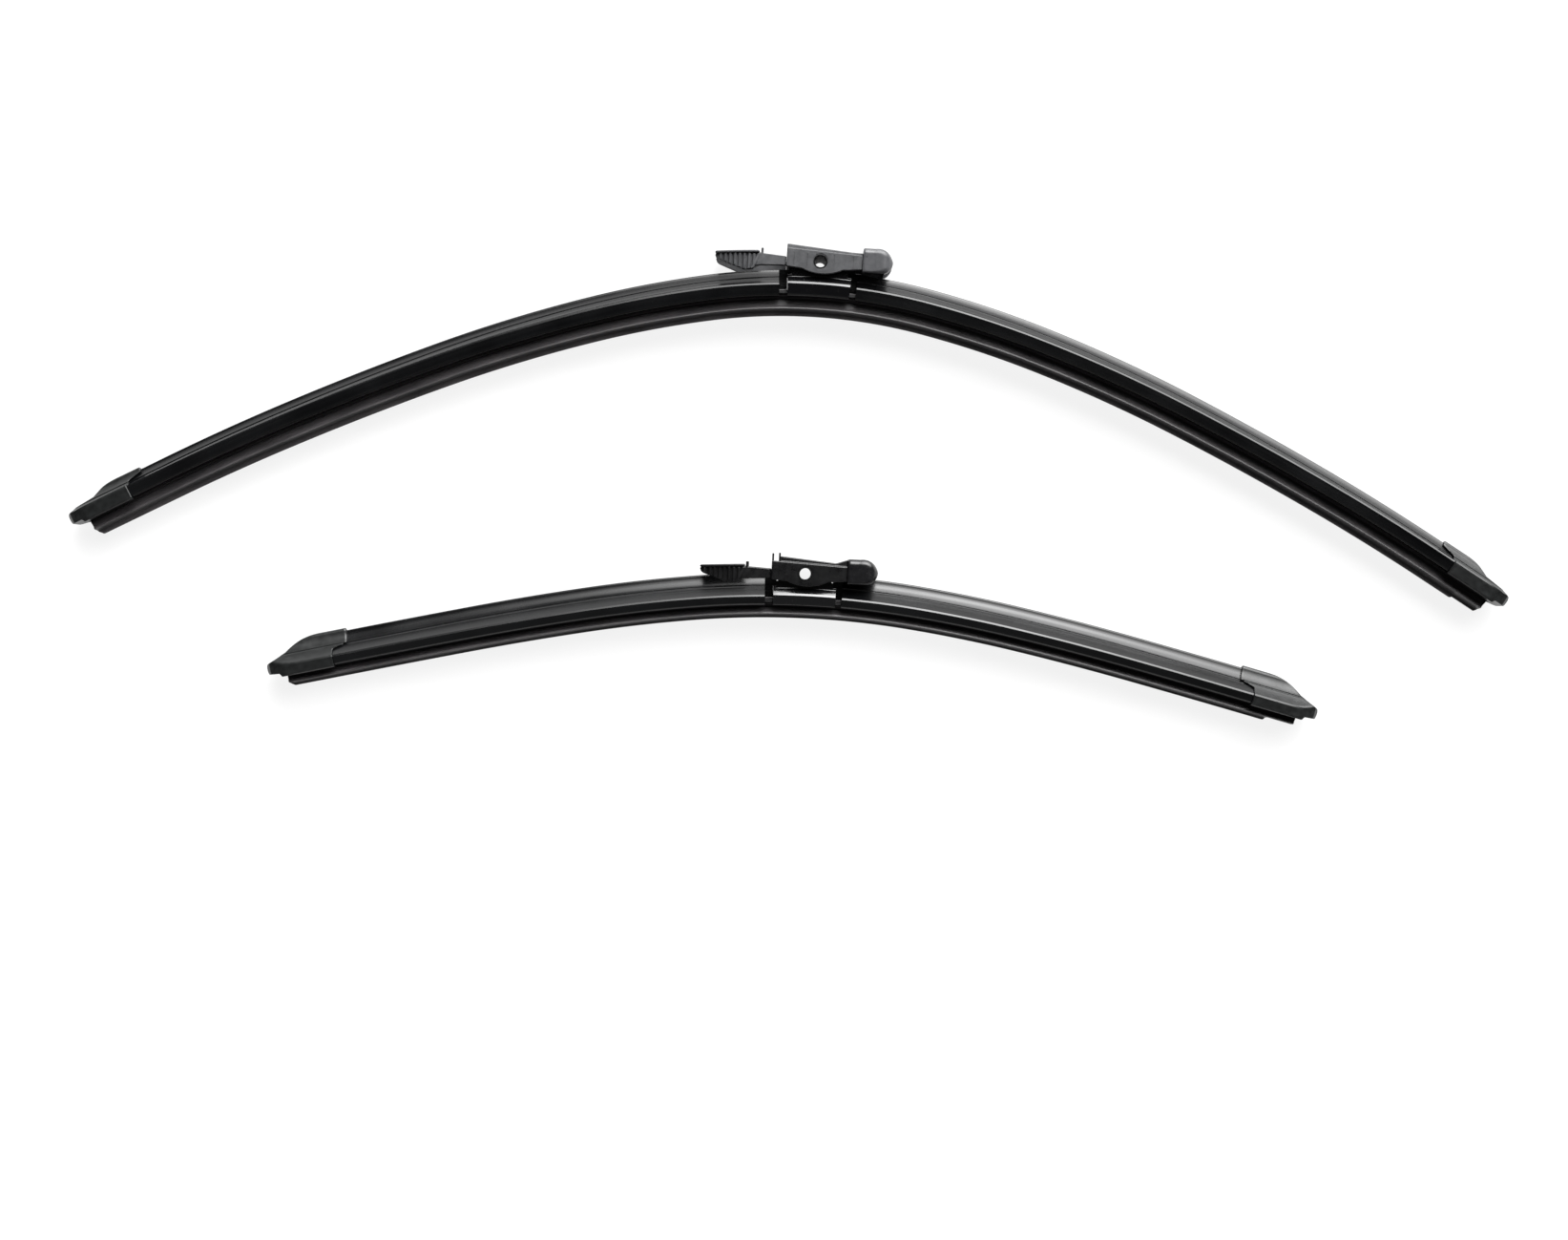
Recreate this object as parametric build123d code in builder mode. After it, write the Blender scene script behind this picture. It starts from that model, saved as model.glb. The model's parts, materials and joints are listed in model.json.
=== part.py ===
"""A pair of beam wiper blades with pinch-tab adapters, laid side by side on a flat surface.

Each blade is drawn in its own frame: x runs along the blade, y points away from the glass and z points
sideways, towards its front.  The frame's origin is on the mid-plane of the spring rails at the middle of
the blade.  A finished piece is then placed into the pair's frame, where +Z is up and the blades lie on
their rear sides.
"""
from build123d import *
from dataclasses import dataclass
from math import atan2, cos, degrees, radians, sin, tan
import os

# ---------------------------------------------------------------- driving dimensions, mm and degrees
FIT = 0.05                    # gap left between pieces that sit against each other

# spring rails: two flat strips of spring steel, side by side
RAIL_THICK = 0.9
RAIL_INNER = 1.1              # from the middle of the blade to a rail's inner edge
RAIL_OUTER = 5.3              # ... and to its outer edge
RAIL_SHORT = 5.0              # how far a rail stops short of the rubber's end

# wiping rubber
RUBBER_WEB = RAIL_INNER - 2 * FIT
RUBBER_BACK_HALF = 2.6        # backing strip above the rails
RUBBER_BACK_TOP = 1.6
RUBBER_KEEL_HALF = 3.2        # strip under the rails
RUBBER_KEEL_LOW = -1.4
RUBBER_HINGE_HALF = 0.55
RUBBER_SHOULDER_HALF = 3.4
RUBBER_LIP_HALF = 0.35
LIP_CUT_BACK = 11.0           # the lip is trimmed over this length at the right end

# spoilers: one hollow extrusion on each side of the bracket
SKIRT_HALF = 7.0              # widest line of the section
CLAW_LOW = -1.6
CLAW_HALF = 6.6
HOOK_INNER = 3.7              # the hooks reach in to here, under the rails
SLOT_HALF = RAIL_THICK / 2 + FIT
SLOT_OUTER = RAIL_OUTER + FIT
CHANNEL_HALF = 2.9            # room for the backing strip
CHANNEL_TOP = 1.8
RIDGE_SIDE = -1.2             # the ridge stands a little behind the middle
RIDGE_R = 0.7
SKIRT_BEVEL = 0.35            # bevel along the front skirt
FIN_END = 11.6                # each fin runs on inwards to here, over the bracket's end
FIN_FRONT = -1.0              # front face of that stretch
FIN_PLAY = 0.1                # ... and its distance from the bracket

# centre bracket and rivet
BRACKET_HALF = 13.0
BRACKET_WALL = 1.2
LEFT_GAP = 3.4                # from the bracket to the left spoiler
RIGHT_GAP = 2.6
FLANGE_RISE = 0.8             # bracket's lower bend above the spoiler's skirt
FLANGE_STEP = 2.5             # from the lower bend to the upper one
EAR_OUTER = 5.2
EAR_R = 4.2
EAR_FOOT_HALF = 11.5
EAR_FOOT_DROP = 3.6           # the ears' feet rise to this far below the rivet's centre
WALL_RISE = 0.6               # the bracket's walls above its upper bend
PIVOT_RISE = 8.7              # rivet centre above the lower bend
RIVET_BORE_R = 2.4            # takes a 3/16 inch side pin
RIVET_R = 2.9
RIVET_PLAY = 0.06
COLLAR_R = 3.25

# adapter, in a frame whose origin is the rivet's centre
HOUSING_HALF = 8.5            # 17 mm wide, between the sides of the wiper arm
HOUSING_WALL = 1.5
HOUSING_LEFT = -14.2
HOUSING_RIGHT = 17.7
HOUSING_CEILING_HALF = 5.4
FIN_SLOT_HALF = 4.4           # slots for the fins in the housing's left wall and in the nose cap
FIN_SLOT_TOP = 2.6
PANEL_LINES = (-11.2, -5.7, 5.6, 13.6)
SHOULDER_LEFT_Y = 5.0
SHOULDER_RIGHT_Y = 3.6
PLATFORM_HALF = 6.5
PLATFORM_LEFT_Y = 7.0
PLATFORM_RIGHT_Y = 5.0
PLATFORM_ROOF = 1.4
RAMP_FOOT = 13.0              # the platform turns up here to meet the nose cap
FINS = ((-13.8, 1.1), (-11.0, 1.4))   # place of each locating fin, and its rise above the platform
FIN_THICK = 0.8
NOSE_HALF = 9.5               # stands proud by the arm's wall
NOSE_END = 30.4
NOSE_TOP = 7.0
NOSE_LOW = -3.4
NOSE_WALL = 1.5
TAB_ROOT = -14.5
TAB_TIP = -44.2
TAB_INNER_EDGE = 2.4          # roof plates stop here, clear of the middle
TAB_LEG = 1.5
TAB_PAD = 0.9                 # ribs and stem pad stand this far off the leg
RIB_PITCH = 2.0
RIB_COUNT = 8
RIB_GROOVE = 0.9

# end caps, in a frame whose origin is the end of the rubber, x outwards
CAP_WALL = 1.0
CAP_CREST = 1.2               # how far the cap stands above the ridge
CAP_BACK = -28.0              # inboard end of the upper part
CAP_BACK_LOW = -22.0          # inboard end of the claws
CAP_BEAK = 7.2                # how far the beak reaches past the rubber
CAP_GRIP = -17.5              # the spoiler ends here, inside the cap
CAP_TOP_END = -18.0           # the cap's top turns down here, into its hump
BEAK_HALF = 3.0

BOTH_SIDES = (1, -1)


@dataclass
class Blade:
    """What differs between the two blades."""
    name: str
    arch: list                # (length, turn) of each tangent arc outwards from the bracket, then straight
    half_length: float
    ridge_mid: float          # heights above the rails' mid-plane
    ridge_end: float
    crease_drop: float        # crease below the ridge
    fin_sag: float            # hollow of the front face between crease and ridge
    ledge_sag: float          # hollow of the ledge between skirt and crease
    skirt: float
    shoulder: float
    lip: float
    lip_cut: float            # height trimmed off the lip at the right end
    shift: float              # how far the bracket sits to the right of the middle
    hump: tuple               # two points of a cap's hump, from its top to its beak
    platform_left: float
    ramp_top: float           # height of the adapter's platform at the nose cap
    finned: bool              # whether the adapter has locating fins
    spot: tuple               # where its bracket lies in the pair, x and y
    tilt: float               # turn about the pair's Z

    @property
    def flange(self):
        return self.skirt + FLANGE_RISE

    @property
    def pivot(self):
        return self.flange + PIVOT_RISE

    def end(self, side):
        """Station of the rubber's end on one side."""
        return side * self.half_length - self.shift

    @property
    def roll(self):
        """Lean of a blade lying on the rear sides of its nose cap and its two end caps."""
        end_y = arch_frame(self, self.half_length)[1]
        proud = NOSE_HALF - SKIRT_HALF - CAP_WALL
        return degrees(atan2(proud, self.pivot + NOSE_LOW - end_y - self.skirt))


LONG = Blade(
    name="long",
    arch=[(46, 11.0), (51, 6.6), (66, 5.8), (71, 3.1), (52, 3.0)], half_length=319.3,
    ridge_mid=10.4, ridge_end=8.8, crease_drop=3.7, fin_sag=0.15, ledge_sag=0.5,
    skirt=3.2, shoulder=-6.2, lip=-9.3, lip_cut=0.8,
    shift=5.8, hump=((-11.5, 9.1), (-5.8, 6.4)),
    platform_left=-14.2, ramp_top=4.9, finned=False,
    spot=(14.4, 137.0), tilt=-3.83,
)
SHORT = Blade(
    name="short",
    arch=[(46, 6.9), (46, 4.1), (50, 2.2), (45, 0.43)], half_length=218.0,
    ridge_mid=11.6, ridge_end=11.6, crease_drop=5.3, fin_sag=0.8, ledge_sag=0.2,
    skirt=2.2, shoulder=-5.0, lip=-7.1, lip_cut=1.5,
    shift=3.3, hump=((-8.4, 11.2), (-1.6, 7.3)),
    platform_left=-10.6, ramp_top=6.6, finned=True,
    spot=(8.4, 7.8), tilt=-2.63,
)


# ---------------------------------------------------------------- the arch
def arch_frame(blade, station):
    """Place on the rails' curve: x, y and heading, at a distance along it from the middle."""
    side = 1 if station >= 0 else -1
    left_to_go = abs(station)
    x, y, heading = 0.0, 0.0, 0.0
    for length, turn in blade.arch:
        run = min(length, left_to_go)
        radius = length / radians(turn)
        ahead = heading + turn * run / length
        x += radius * (sin(radians(ahead)) - sin(radians(heading)))
        y -= radius * (cos(radians(heading)) - cos(radians(ahead)))
        heading = ahead
        left_to_go -= run
    if left_to_go > 0:
        x += left_to_go * cos(radians(heading))
        y -= left_to_go * sin(radians(heading))
    return side * x, y, -side * heading


def arch_path(blade, start, end):
    """The rails' curve from one station to another, as tangent arcs."""
    joints = [0.0]
    for length, turn in blade.arch:
        joints.append(joints[-1] + length)
    stops = {start, end}
    for joint in joints[1:]:
        stops |= {s for s in (joint, -joint) if start < s < end}
    stops = sorted(stops)
    with BuildLine(Plane.XY) as path:
        for here, there in zip(stops, stops[1:]):
            x, y, heading = arch_frame(blade, here)
            turn = arch_frame(blade, there)[2] - heading
            direction = (cos(radians(heading)), sin(radians(heading)))
            if abs(turn) < 1e-9:
                PolarLine((x, y), there - here, direction=direction)
            else:
                radius = (there - here) / radians(abs(turn))
                JernArc((x, y), direction, radius, turn)
    return path.wires()[0]


def section_plane(blade, station):
    """Plane across the blade: its x is sideways, to the front, and its y is away from the glass."""
    x, y, heading = arch_frame(blade, station)
    tangent = Vector(cos(radians(heading)), sin(radians(heading)), 0)
    return Plane(origin=(x, y, 0), x_dir=(0, 0, 1), z_dir=-tangent)


def end_place(blade, side):
    """The frame of an end cap, with x along the blade, at the end of the rubber."""
    x, y, heading = arch_frame(blade, blade.end(side))
    return Location((x, y, 0), (0, 0, heading))


# ---------------------------------------------------------------- pieces along the blade
def rubber_section(blade, plane):
    """Backing strip, web between the rails, keel, hinge and the head with its lip."""
    with BuildSketch(plane) as section:
        with BuildLine():
            flank_top = (1.3, RUBBER_KEEL_LOW - 1.3)
            flank_low = (2.3, blade.shoulder + 0.9)
            shoulder = (RUBBER_SHOULDER_HALF, blade.shoulder - 0.35)
            Polyline(
                (0, RUBBER_BACK_TOP),
                (RUBBER_BACK_HALF, RUBBER_BACK_TOP),
                (RUBBER_BACK_HALF, SLOT_HALF),
                (RUBBER_WEB, SLOT_HALF),
                (RUBBER_WEB, -SLOT_HALF),
                (RUBBER_KEEL_HALF, -SLOT_HALF),
                (RUBBER_KEEL_HALF, RUBBER_KEEL_LOW),
                (RUBBER_HINGE_HALF, RUBBER_KEEL_LOW - 0.2),
                (RUBBER_HINGE_HALF, RUBBER_KEEL_LOW - 1.1),
                flank_top,
            )
            ThreePointArc(flank_top, (1.6, (blade.shoulder - 1.5) / 2), flank_low)
            ThreePointArc(flank_low, (3.15, blade.shoulder + 0.2), shoulder)
            Polyline(
                shoulder,
                (RUBBER_LIP_HALF + 0.2, blade.shoulder - 1.0),
                (RUBBER_LIP_HALF, blade.lip),
                (0, blade.lip),
                (0, RUBBER_BACK_TOP),
            )
        make_face()
        mirror(about=Plane.YZ)
    return section.sketch


def left_end_cut(blade):
    """Outline of what is cut off the left end, which leaves it slanted, with a rounded corner."""
    low = blade.lip
    Polyline((3.0, low - 0.01), (3.0, low - 1), (-1, low - 1), (-1, low + 6.5), (0, low + 6.5),
             (0.8, low + 2.6))
    ThreePointArc((0.8, low + 2.6), (1.5, low + 0.8), (3.0, low - 0.01))


def right_end_cut(blade):
    """Outline of what is cut off the right end: the slant, and the lip for some way before it."""
    low = blade.lip
    trimmed = low + blade.lip_cut
    step = -LIP_CUT_BACK
    lip_end = (step - 1.5, low - 0.01)
    Polyline((step, trimmed), (-1.6, trimmed), (0, low + 6.5), (1, low + 6.5), (1, low - 1),
             (step - 1.5, low - 1), lip_end)
    ThreePointArc(lip_end, (step - 0.4, low + 0.3 * blade.lip_cut), (step, trimmed))


def make_rubber(blade):
    start, end = blade.end(-1), blade.end(1)
    with BuildPart() as rubber:
        sweep(sections=rubber_section(blade, section_plane(blade, start)), path=arch_path(blade, start, end))
        for side, cut in ((-1, left_end_cut), (1, right_end_cut)):
            x, y, heading = arch_frame(blade, blade.end(side))
            with BuildSketch(Plane(Location((x, y, -10), (0, 0, heading)))):
                with BuildLine():
                    cut(blade)
                make_face()
            extrude(amount=20, mode=Mode.SUBTRACT)
    return rubber.part


def make_rail(blade, side):
    start = blade.end(-1) + RAIL_SHORT
    end = blade.end(1) - RAIL_SHORT
    middle = side * (RAIL_INNER + RAIL_OUTER) / 2
    with BuildPart() as rail:
        with BuildSketch(section_plane(blade, start)) as strip:
            with Locations((middle, 0)):
                Rectangle(RAIL_OUTER - RAIL_INNER, RAIL_THICK)
        sweep(path=arch_path(blade, start, end))
    return rail.part


def sagging_arc(start, end, sag):
    """The arc between two points that hangs below their chord's middle by the sag."""
    return ThreePointArc(start, ((start[0] + end[0]) / 2, (start[1] + end[1]) / 2 - sag), end)


def spoiler_outside(blade, ridge, grow=0.0):
    """Outer line of the spoiler, from its front claw over the ridge to its rear claw."""
    crease = ridge - blade.crease_drop
    front_bead = (RIDGE_SIDE + RIDGE_R + grow, ridge - RIDGE_R)
    rear_bead = (RIDGE_SIDE - RIDGE_R - grow, ridge - RIDGE_R)
    ledge_top = (2.3 + grow, crease - 0.3)
    skirt_low = (SKIRT_HALF + grow, blade.skirt - SKIRT_BEVEL)
    skirt_top = (SKIRT_HALF + grow - SKIRT_BEVEL, blade.skirt + SKIRT_BEVEL)
    rear_skirt = (-SKIRT_HALF - grow, blade.skirt)
    claw = CLAW_HALF + grow
    low = CLAW_LOW - grow
    Polyline((claw - 0.6, low), (claw, low + 0.6), skirt_low, skirt_top)
    sagging_arc(skirt_top, ledge_top, blade.ledge_sag)
    Polyline(ledge_top, (1.6 + grow, crease), (1.7 + grow, crease + 0.35))
    sagging_arc((1.7 + grow, crease + 0.35), front_bead, blade.fin_sag)
    ThreePointArc(front_bead, (RIDGE_SIDE, ridge + grow), rear_bead)
    ThreePointArc(rear_bead, (-3.4 - grow, (ridge + blade.skirt) / 2 + 0.2), rear_skirt)
    Polyline(rear_skirt, (-claw, low + 0.6), (0.6 - claw, low))


def spoiler_section(blade, station, ridge):
    hollow_top = ridge - 5.6
    with BuildSketch(section_plane(blade, station)) as section:
        with BuildLine():
            spoiler_outside(blade, ridge)
            Polyline(
                (CLAW_HALF - 0.6, CLAW_LOW),
                (HOOK_INNER, CLAW_LOW),
                (HOOK_INNER, -SLOT_HALF),
                (SLOT_OUTER, -SLOT_HALF),
                (SLOT_OUTER, SLOT_HALF),
                (CHANNEL_HALF, SLOT_HALF),
                (CHANNEL_HALF, CHANNEL_TOP),
                (0.2, hollow_top),
                (-1.0, hollow_top),
                (-CHANNEL_HALF, CHANNEL_TOP),
                (-CHANNEL_HALF, SLOT_HALF),
                (-SLOT_OUTER, SLOT_HALF),
                (-SLOT_OUTER, -SLOT_HALF),
                (-HOOK_INNER, -SLOT_HALF),
                (-HOOK_INNER, CLAW_LOW),
                (0.6 - CLAW_HALF, CLAW_LOW),
            )
        make_face()
    return section.sketch


def make_spoiler(blade, side):
    gap = RIGHT_GAP if side > 0 else LEFT_GAP
    near = side * FIN_END
    far = blade.end(side) + side * CAP_GRIP
    ends = [spoiler_section(blade, near, blade.ridge_mid), spoiler_section(blade, far, blade.ridge_end)]
    if side < 0:
        ends.reverse()
    start, end = sorted((near, far))
    room_x, room_y, heading = arch_frame(blade, side * (BRACKET_HALF + FIN_PLAY))
    room_low, room_top = -10, blade.flange + FLANGE_STEP + WALL_RISE + FIN_PLAY
    lean = -tan(radians(heading))
    with BuildPart() as spoiler:
        sweep(sections=ends, path=arch_path(blade, start, end), multisection=True)
        # in front the spoiler stops short of the bracket, and only its fin runs on over the bracket's end
        with BuildSketch(Plane.XY.offset(FIN_FRONT)):
            with Locations((side * (BRACKET_HALF + gap) / 2, 0)):
                Rectangle(BRACKET_HALF + gap, 40)
        extrude(amount=20, mode=Mode.SUBTRACT)
        with BuildSketch(Plane.XY.offset(-10)):
            with BuildLine():
                Polyline((0, room_low), (room_x + lean * (room_low - room_y), room_low),
                         (room_x + lean * (room_top - room_y), room_top), (0, room_top), close=True)
            make_face()
        extrude(amount=20, mode=Mode.SUBTRACT)
    return spoiler.part


# ---------------------------------------------------------------- bracket and rivet
def make_bracket(blade):
    """Bent steel channel: claws round the rails, a web over the backing strip and two ears."""
    ear_top = blade.pivot + EAR_R
    ear_inner = EAR_OUTER - BRACKET_WALL
    upper_bend = blade.flange + FLANGE_STEP
    with BuildPart() as bracket:
        with BuildSketch(section_plane(blade, -BRACKET_HALF)) as section:
            with BuildLine():
                Polyline(
                    (0, CHANNEL_TOP),
                    (CHANNEL_HALF, CHANNEL_TOP),
                    (CHANNEL_HALF, SLOT_HALF),
                    (SLOT_OUTER, SLOT_HALF),
                    (SLOT_OUTER, -SLOT_HALF),
                    (HOOK_INNER, -SLOT_HALF),
                    (HOOK_INNER, CLAW_LOW),
                    (CLAW_HALF - 0.5, CLAW_LOW),
                    (CLAW_HALF, CLAW_LOW + 0.6),
                    (SKIRT_HALF + 0.1, blade.flange - 0.6),
                    (SKIRT_HALF - 0.35, blade.flange + 0.3),
                    (EAR_OUTER, upper_bend),
                    (EAR_OUTER, ear_top),
                    (ear_inner, ear_top),
                    (ear_inner, CHANNEL_TOP + BRACKET_WALL),
                    (0, CHANNEL_TOP + BRACKET_WALL),
                    (0, CHANNEL_TOP),
                )
            make_face()
            mirror(about=Plane.YZ)
        sweep(path=arch_path(blade, -BRACKET_HALF, BRACKET_HALF))
        with BuildSketch(Plane.XY.offset(-10)):
            side_height = upper_bend + WALL_RISE - 2 * CLAW_LOW
            ear_foot = blade.pivot - EAR_FOOT_DROP
            with Locations((0, upper_bend + WALL_RISE - side_height / 2)):
                Rectangle(2 * BRACKET_HALF + 1, side_height)
            with BuildLine():
                Polyline((-EAR_FOOT_HALF, upper_bend), (EAR_FOOT_HALF, upper_bend), (EAR_FOOT_HALF, ear_foot),
                         (EAR_R, blade.pivot), (-EAR_R, blade.pivot), (-EAR_FOOT_HALF, ear_foot), close=True)
            make_face()
            with Locations((0, blade.pivot)):
                Circle(EAR_R)
        extrude(amount=20, mode=Mode.INTERSECT)
        with BuildSketch(Plane.XY.offset(-10)):
            with Locations((0, blade.pivot)):
                Circle(RIVET_R + FIT)
        extrude(amount=20, mode=Mode.SUBTRACT)
    return bracket.part


def make_rivet():
    """Hollow rivet through the ears and the housing, with a collar outside each ear."""
    with BuildPart() as rivet:
        with BuildSketch(Plane.XY.offset(-HOUSING_HALF)):
            Circle(RIVET_R)
        extrude(amount=2 * HOUSING_HALF)
        for side in BOTH_SIDES:
            with BuildSketch(Plane.XY.offset(side * (EAR_OUTER + FIT))):
                Circle(COLLAR_R)
            extrude(amount=side * 1.1)
        with BuildSketch(Plane.XY.offset(-HOUSING_HALF)):
            Circle(RIVET_BORE_R)
        extrude(amount=2 * HOUSING_HALF, mode=Mode.SUBTRACT)
    return rivet.part


# ---------------------------------------------------------------- adapter
def platform_outline(blade, drop, inner_left):
    """Side view of the adapter's platform, or of the room under it."""
    Polyline((inner_left, 0), (inner_left, PLATFORM_LEFT_Y - drop), (RAMP_FOOT, PLATFORM_RIGHT_Y - drop),
             (HOUSING_RIGHT, blade.ramp_top - drop), (HOUSING_RIGHT, 0), close=True)


def make_adapter_body(blade):
    with BuildPart() as body:
        with BuildSketch(Plane.XY.offset(-HOUSING_HALF)):
            with BuildLine():
                Polyline((-7.5, -3.4), (HOUSING_LEFT, -2.8), (HOUSING_LEFT, SHOULDER_LEFT_Y),
                         (HOUSING_RIGHT, SHOULDER_RIGHT_Y), (HOUSING_RIGHT, -2.4), (9.5, -3.2))
                ThreePointArc((9.5, -3.2), (1.6, -5.2), (-7.5, -3.4))
            make_face()
        extrude(amount=2 * HOUSING_HALF)
        with BuildSketch(Plane.XY.offset(-PLATFORM_HALF)):
            with BuildLine():
                platform_outline(blade, 0, blade.platform_left)
            make_face()
        extrude(amount=2 * PLATFORM_HALF)
        if blade.finned:
            for x, rise in FINS:
                with BuildSketch(Plane.XY.offset(-2)):
                    with Locations((x, (PLATFORM_LEFT_Y + rise + 4) / 2)):
                        Rectangle(FIN_THICK, PLATFORM_LEFT_Y + rise - 4)
                extrude(amount=4)
        # hollow, open below and towards the nose cap
        inner_left = HOUSING_LEFT + HOUSING_WALL
        shoulder_drop = 0.95
        with BuildSketch(Plane.XY.offset(HOUSING_WALL - HOUSING_HALF)):
            with BuildLine():
                Polyline((inner_left, -8), (inner_left, SHOULDER_LEFT_Y - shoulder_drop),
                         (HOUSING_RIGHT, SHOULDER_RIGHT_Y - shoulder_drop), (HOUSING_RIGHT, -8), close=True)
            make_face()
        extrude(amount=2 * (HOUSING_HALF - HOUSING_WALL), mode=Mode.SUBTRACT)
        with BuildSketch(Plane.XY.offset(-HOUSING_CEILING_HALF)):
            with BuildLine():
                platform_outline(blade, PLATFORM_ROOF, inner_left)
            make_face()
        extrude(amount=2 * HOUSING_CEILING_HALF, mode=Mode.SUBTRACT)
        # slot in the left wall for the spoiler's fin
        with BuildSketch(Plane.YZ.offset(HOUSING_LEFT)):
            with Locations((FIN_SLOT_TOP - 6, 0)):
                Rectangle(12, 2 * FIN_SLOT_HALF)
        extrude(amount=HOUSING_WALL, mode=Mode.SUBTRACT)
        # bearing holes for the rivet
        with BuildSketch(Plane.XY.offset(-HOUSING_HALF)):
            Circle(RIVET_R + RIVET_PLAY)
        extrude(amount=2 * HOUSING_HALF, mode=Mode.SUBTRACT)
        # shallow panel lines on both sides
        for side in BOTH_SIDES:
            with BuildSketch(Plane.XY.offset(side * HOUSING_HALF)):
                for x in PANEL_LINES:
                    with Locations((x, 0.5)):
                        Rectangle(0.4, 5.6)
            extrude(amount=-side * 0.25, mode=Mode.SUBTRACT)
    return body.part


def make_nose_cap():
    with BuildPart() as cap:
        with BuildSketch(Plane.XY.offset(-NOSE_HALF)):
            with BuildLine():
                Polyline((25.0, NOSE_LOW), (HOUSING_RIGHT, NOSE_LOW), (HOUSING_RIGHT, NOSE_TOP - 0.3),
                         (HOUSING_RIGHT + 0.5, NOSE_TOP), (23.0, NOSE_TOP))
                ThreePointArc((23.0, NOSE_TOP), (28.6, 5.2), (NOSE_END, 1.8))
                ThreePointArc((NOSE_END, 1.8), (29.2, -1.6), (25.0, NOSE_LOW))
            make_face()
        extrude(amount=2 * NOSE_HALF)
        with BuildSketch(Plane.XZ.offset(-NOSE_TOP - 1)):
            with BuildLine():
                Polyline((HOUSING_RIGHT, 0), (HOUSING_RIGHT, NOSE_HALF), (22.5, NOSE_HALF))
                ThreePointArc((22.5, NOSE_HALF), (29.0, 8.0), (NOSE_END, 5.6))
                Polyline((NOSE_END, 5.6), (NOSE_END, 0), (HOUSING_RIGHT, 0))
            make_face()
            mirror(about=Plane.XZ)
        extrude(amount=NOSE_TOP - NOSE_LOW + 2, mode=Mode.INTERSECT)
        # hollow, so that the spoiler's ridge can rise into it
        with BuildSketch(Plane.XY.offset(NOSE_WALL - NOSE_HALF)):
            with BuildLine():
                Polyline((HOUSING_RIGHT + 1, NOSE_LOW - 1), (HOUSING_RIGHT + 1, 5.0), (24.5, 5.0),
                         (27.4, 1.5), (26.4, NOSE_LOW - 1), close=True)
            make_face()
        extrude(amount=2 * (NOSE_HALF - NOSE_WALL), mode=Mode.SUBTRACT)
        with BuildSketch(Plane.YZ.offset(HOUSING_RIGHT)):
            with Locations((4.6 / 2 + NOSE_LOW / 2, 0)):
                Rectangle(4.6 - NOSE_LOW, 2 * (HOUSING_CEILING_HALF - 0.2))
        extrude(amount=1.5, mode=Mode.SUBTRACT)
        # slot through the nose for the ridge
        with BuildSketch(Plane.YZ.offset(HOUSING_RIGHT + 2)):
            with Locations((NOSE_LOW, 0)):
                SlotOverall(2 * (3.6 - NOSE_LOW), 2 * FIN_SLOT_HALF)
        extrude(amount=15, mode=Mode.SUBTRACT)
        # clip tongues that reach into the housing
        tongue_outer = HOUSING_HALF - HOUSING_WALL - FIT
        for side in BOTH_SIDES:
            with BuildSketch(Plane.XY.offset(side * tongue_outer)):
                with Locations((HOUSING_RIGHT - 0.75, 0)):
                    Rectangle(3.5, 3.4)
            extrude(amount=-side * 1.1)
    return cap.part


def tab_plan(start, end, inner, outer):
    """Plan of one layer of the front pinch tab, between two offsets from its curved outer line."""
    root, belly, tip = (TAB_ROOT, 7.6), (-28.0, 8.4), (TAB_TIP, 6.4)

    def layer_arc(offset):
        return ThreePointArc(*[(x, z + offset) for x, z in (root, belly, tip)])

    with BuildSketch(Plane.XZ.offset(-6)) as plan:
        with BuildLine():
            outside = layer_arc(outer)
            if inner is None:
                Polyline(outside @ 1, (TAB_TIP, TAB_INNER_EDGE), (TAB_ROOT, TAB_INNER_EDGE), outside @ 0)
            else:
                inside = layer_arc(inner)
                Line(outside @ 1, inside @ 1)
                Line(inside @ 0, outside @ 0)
        make_face()
        with Locations(((start + end) / 2, 0)):
            Rectangle(end - start, 40, mode=Mode.INTERSECT)
    return plan.sketch


def tab_layer(start, end, inner, outer, *silhouette):
    """A layer of the tab: its plan, trimmed by its outline in side view."""
    with BuildPart() as layer:
        extrude(tab_plan(start, end, inner, outer), amount=14, dir=(0, -1, 0))
        with BuildSketch(Plane.XY):
            with BuildLine():
                Polyline(*silhouette, close=True)
            make_face()
        extrude(amount=12, mode=Mode.INTERSECT)
    return layer.part


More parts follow.
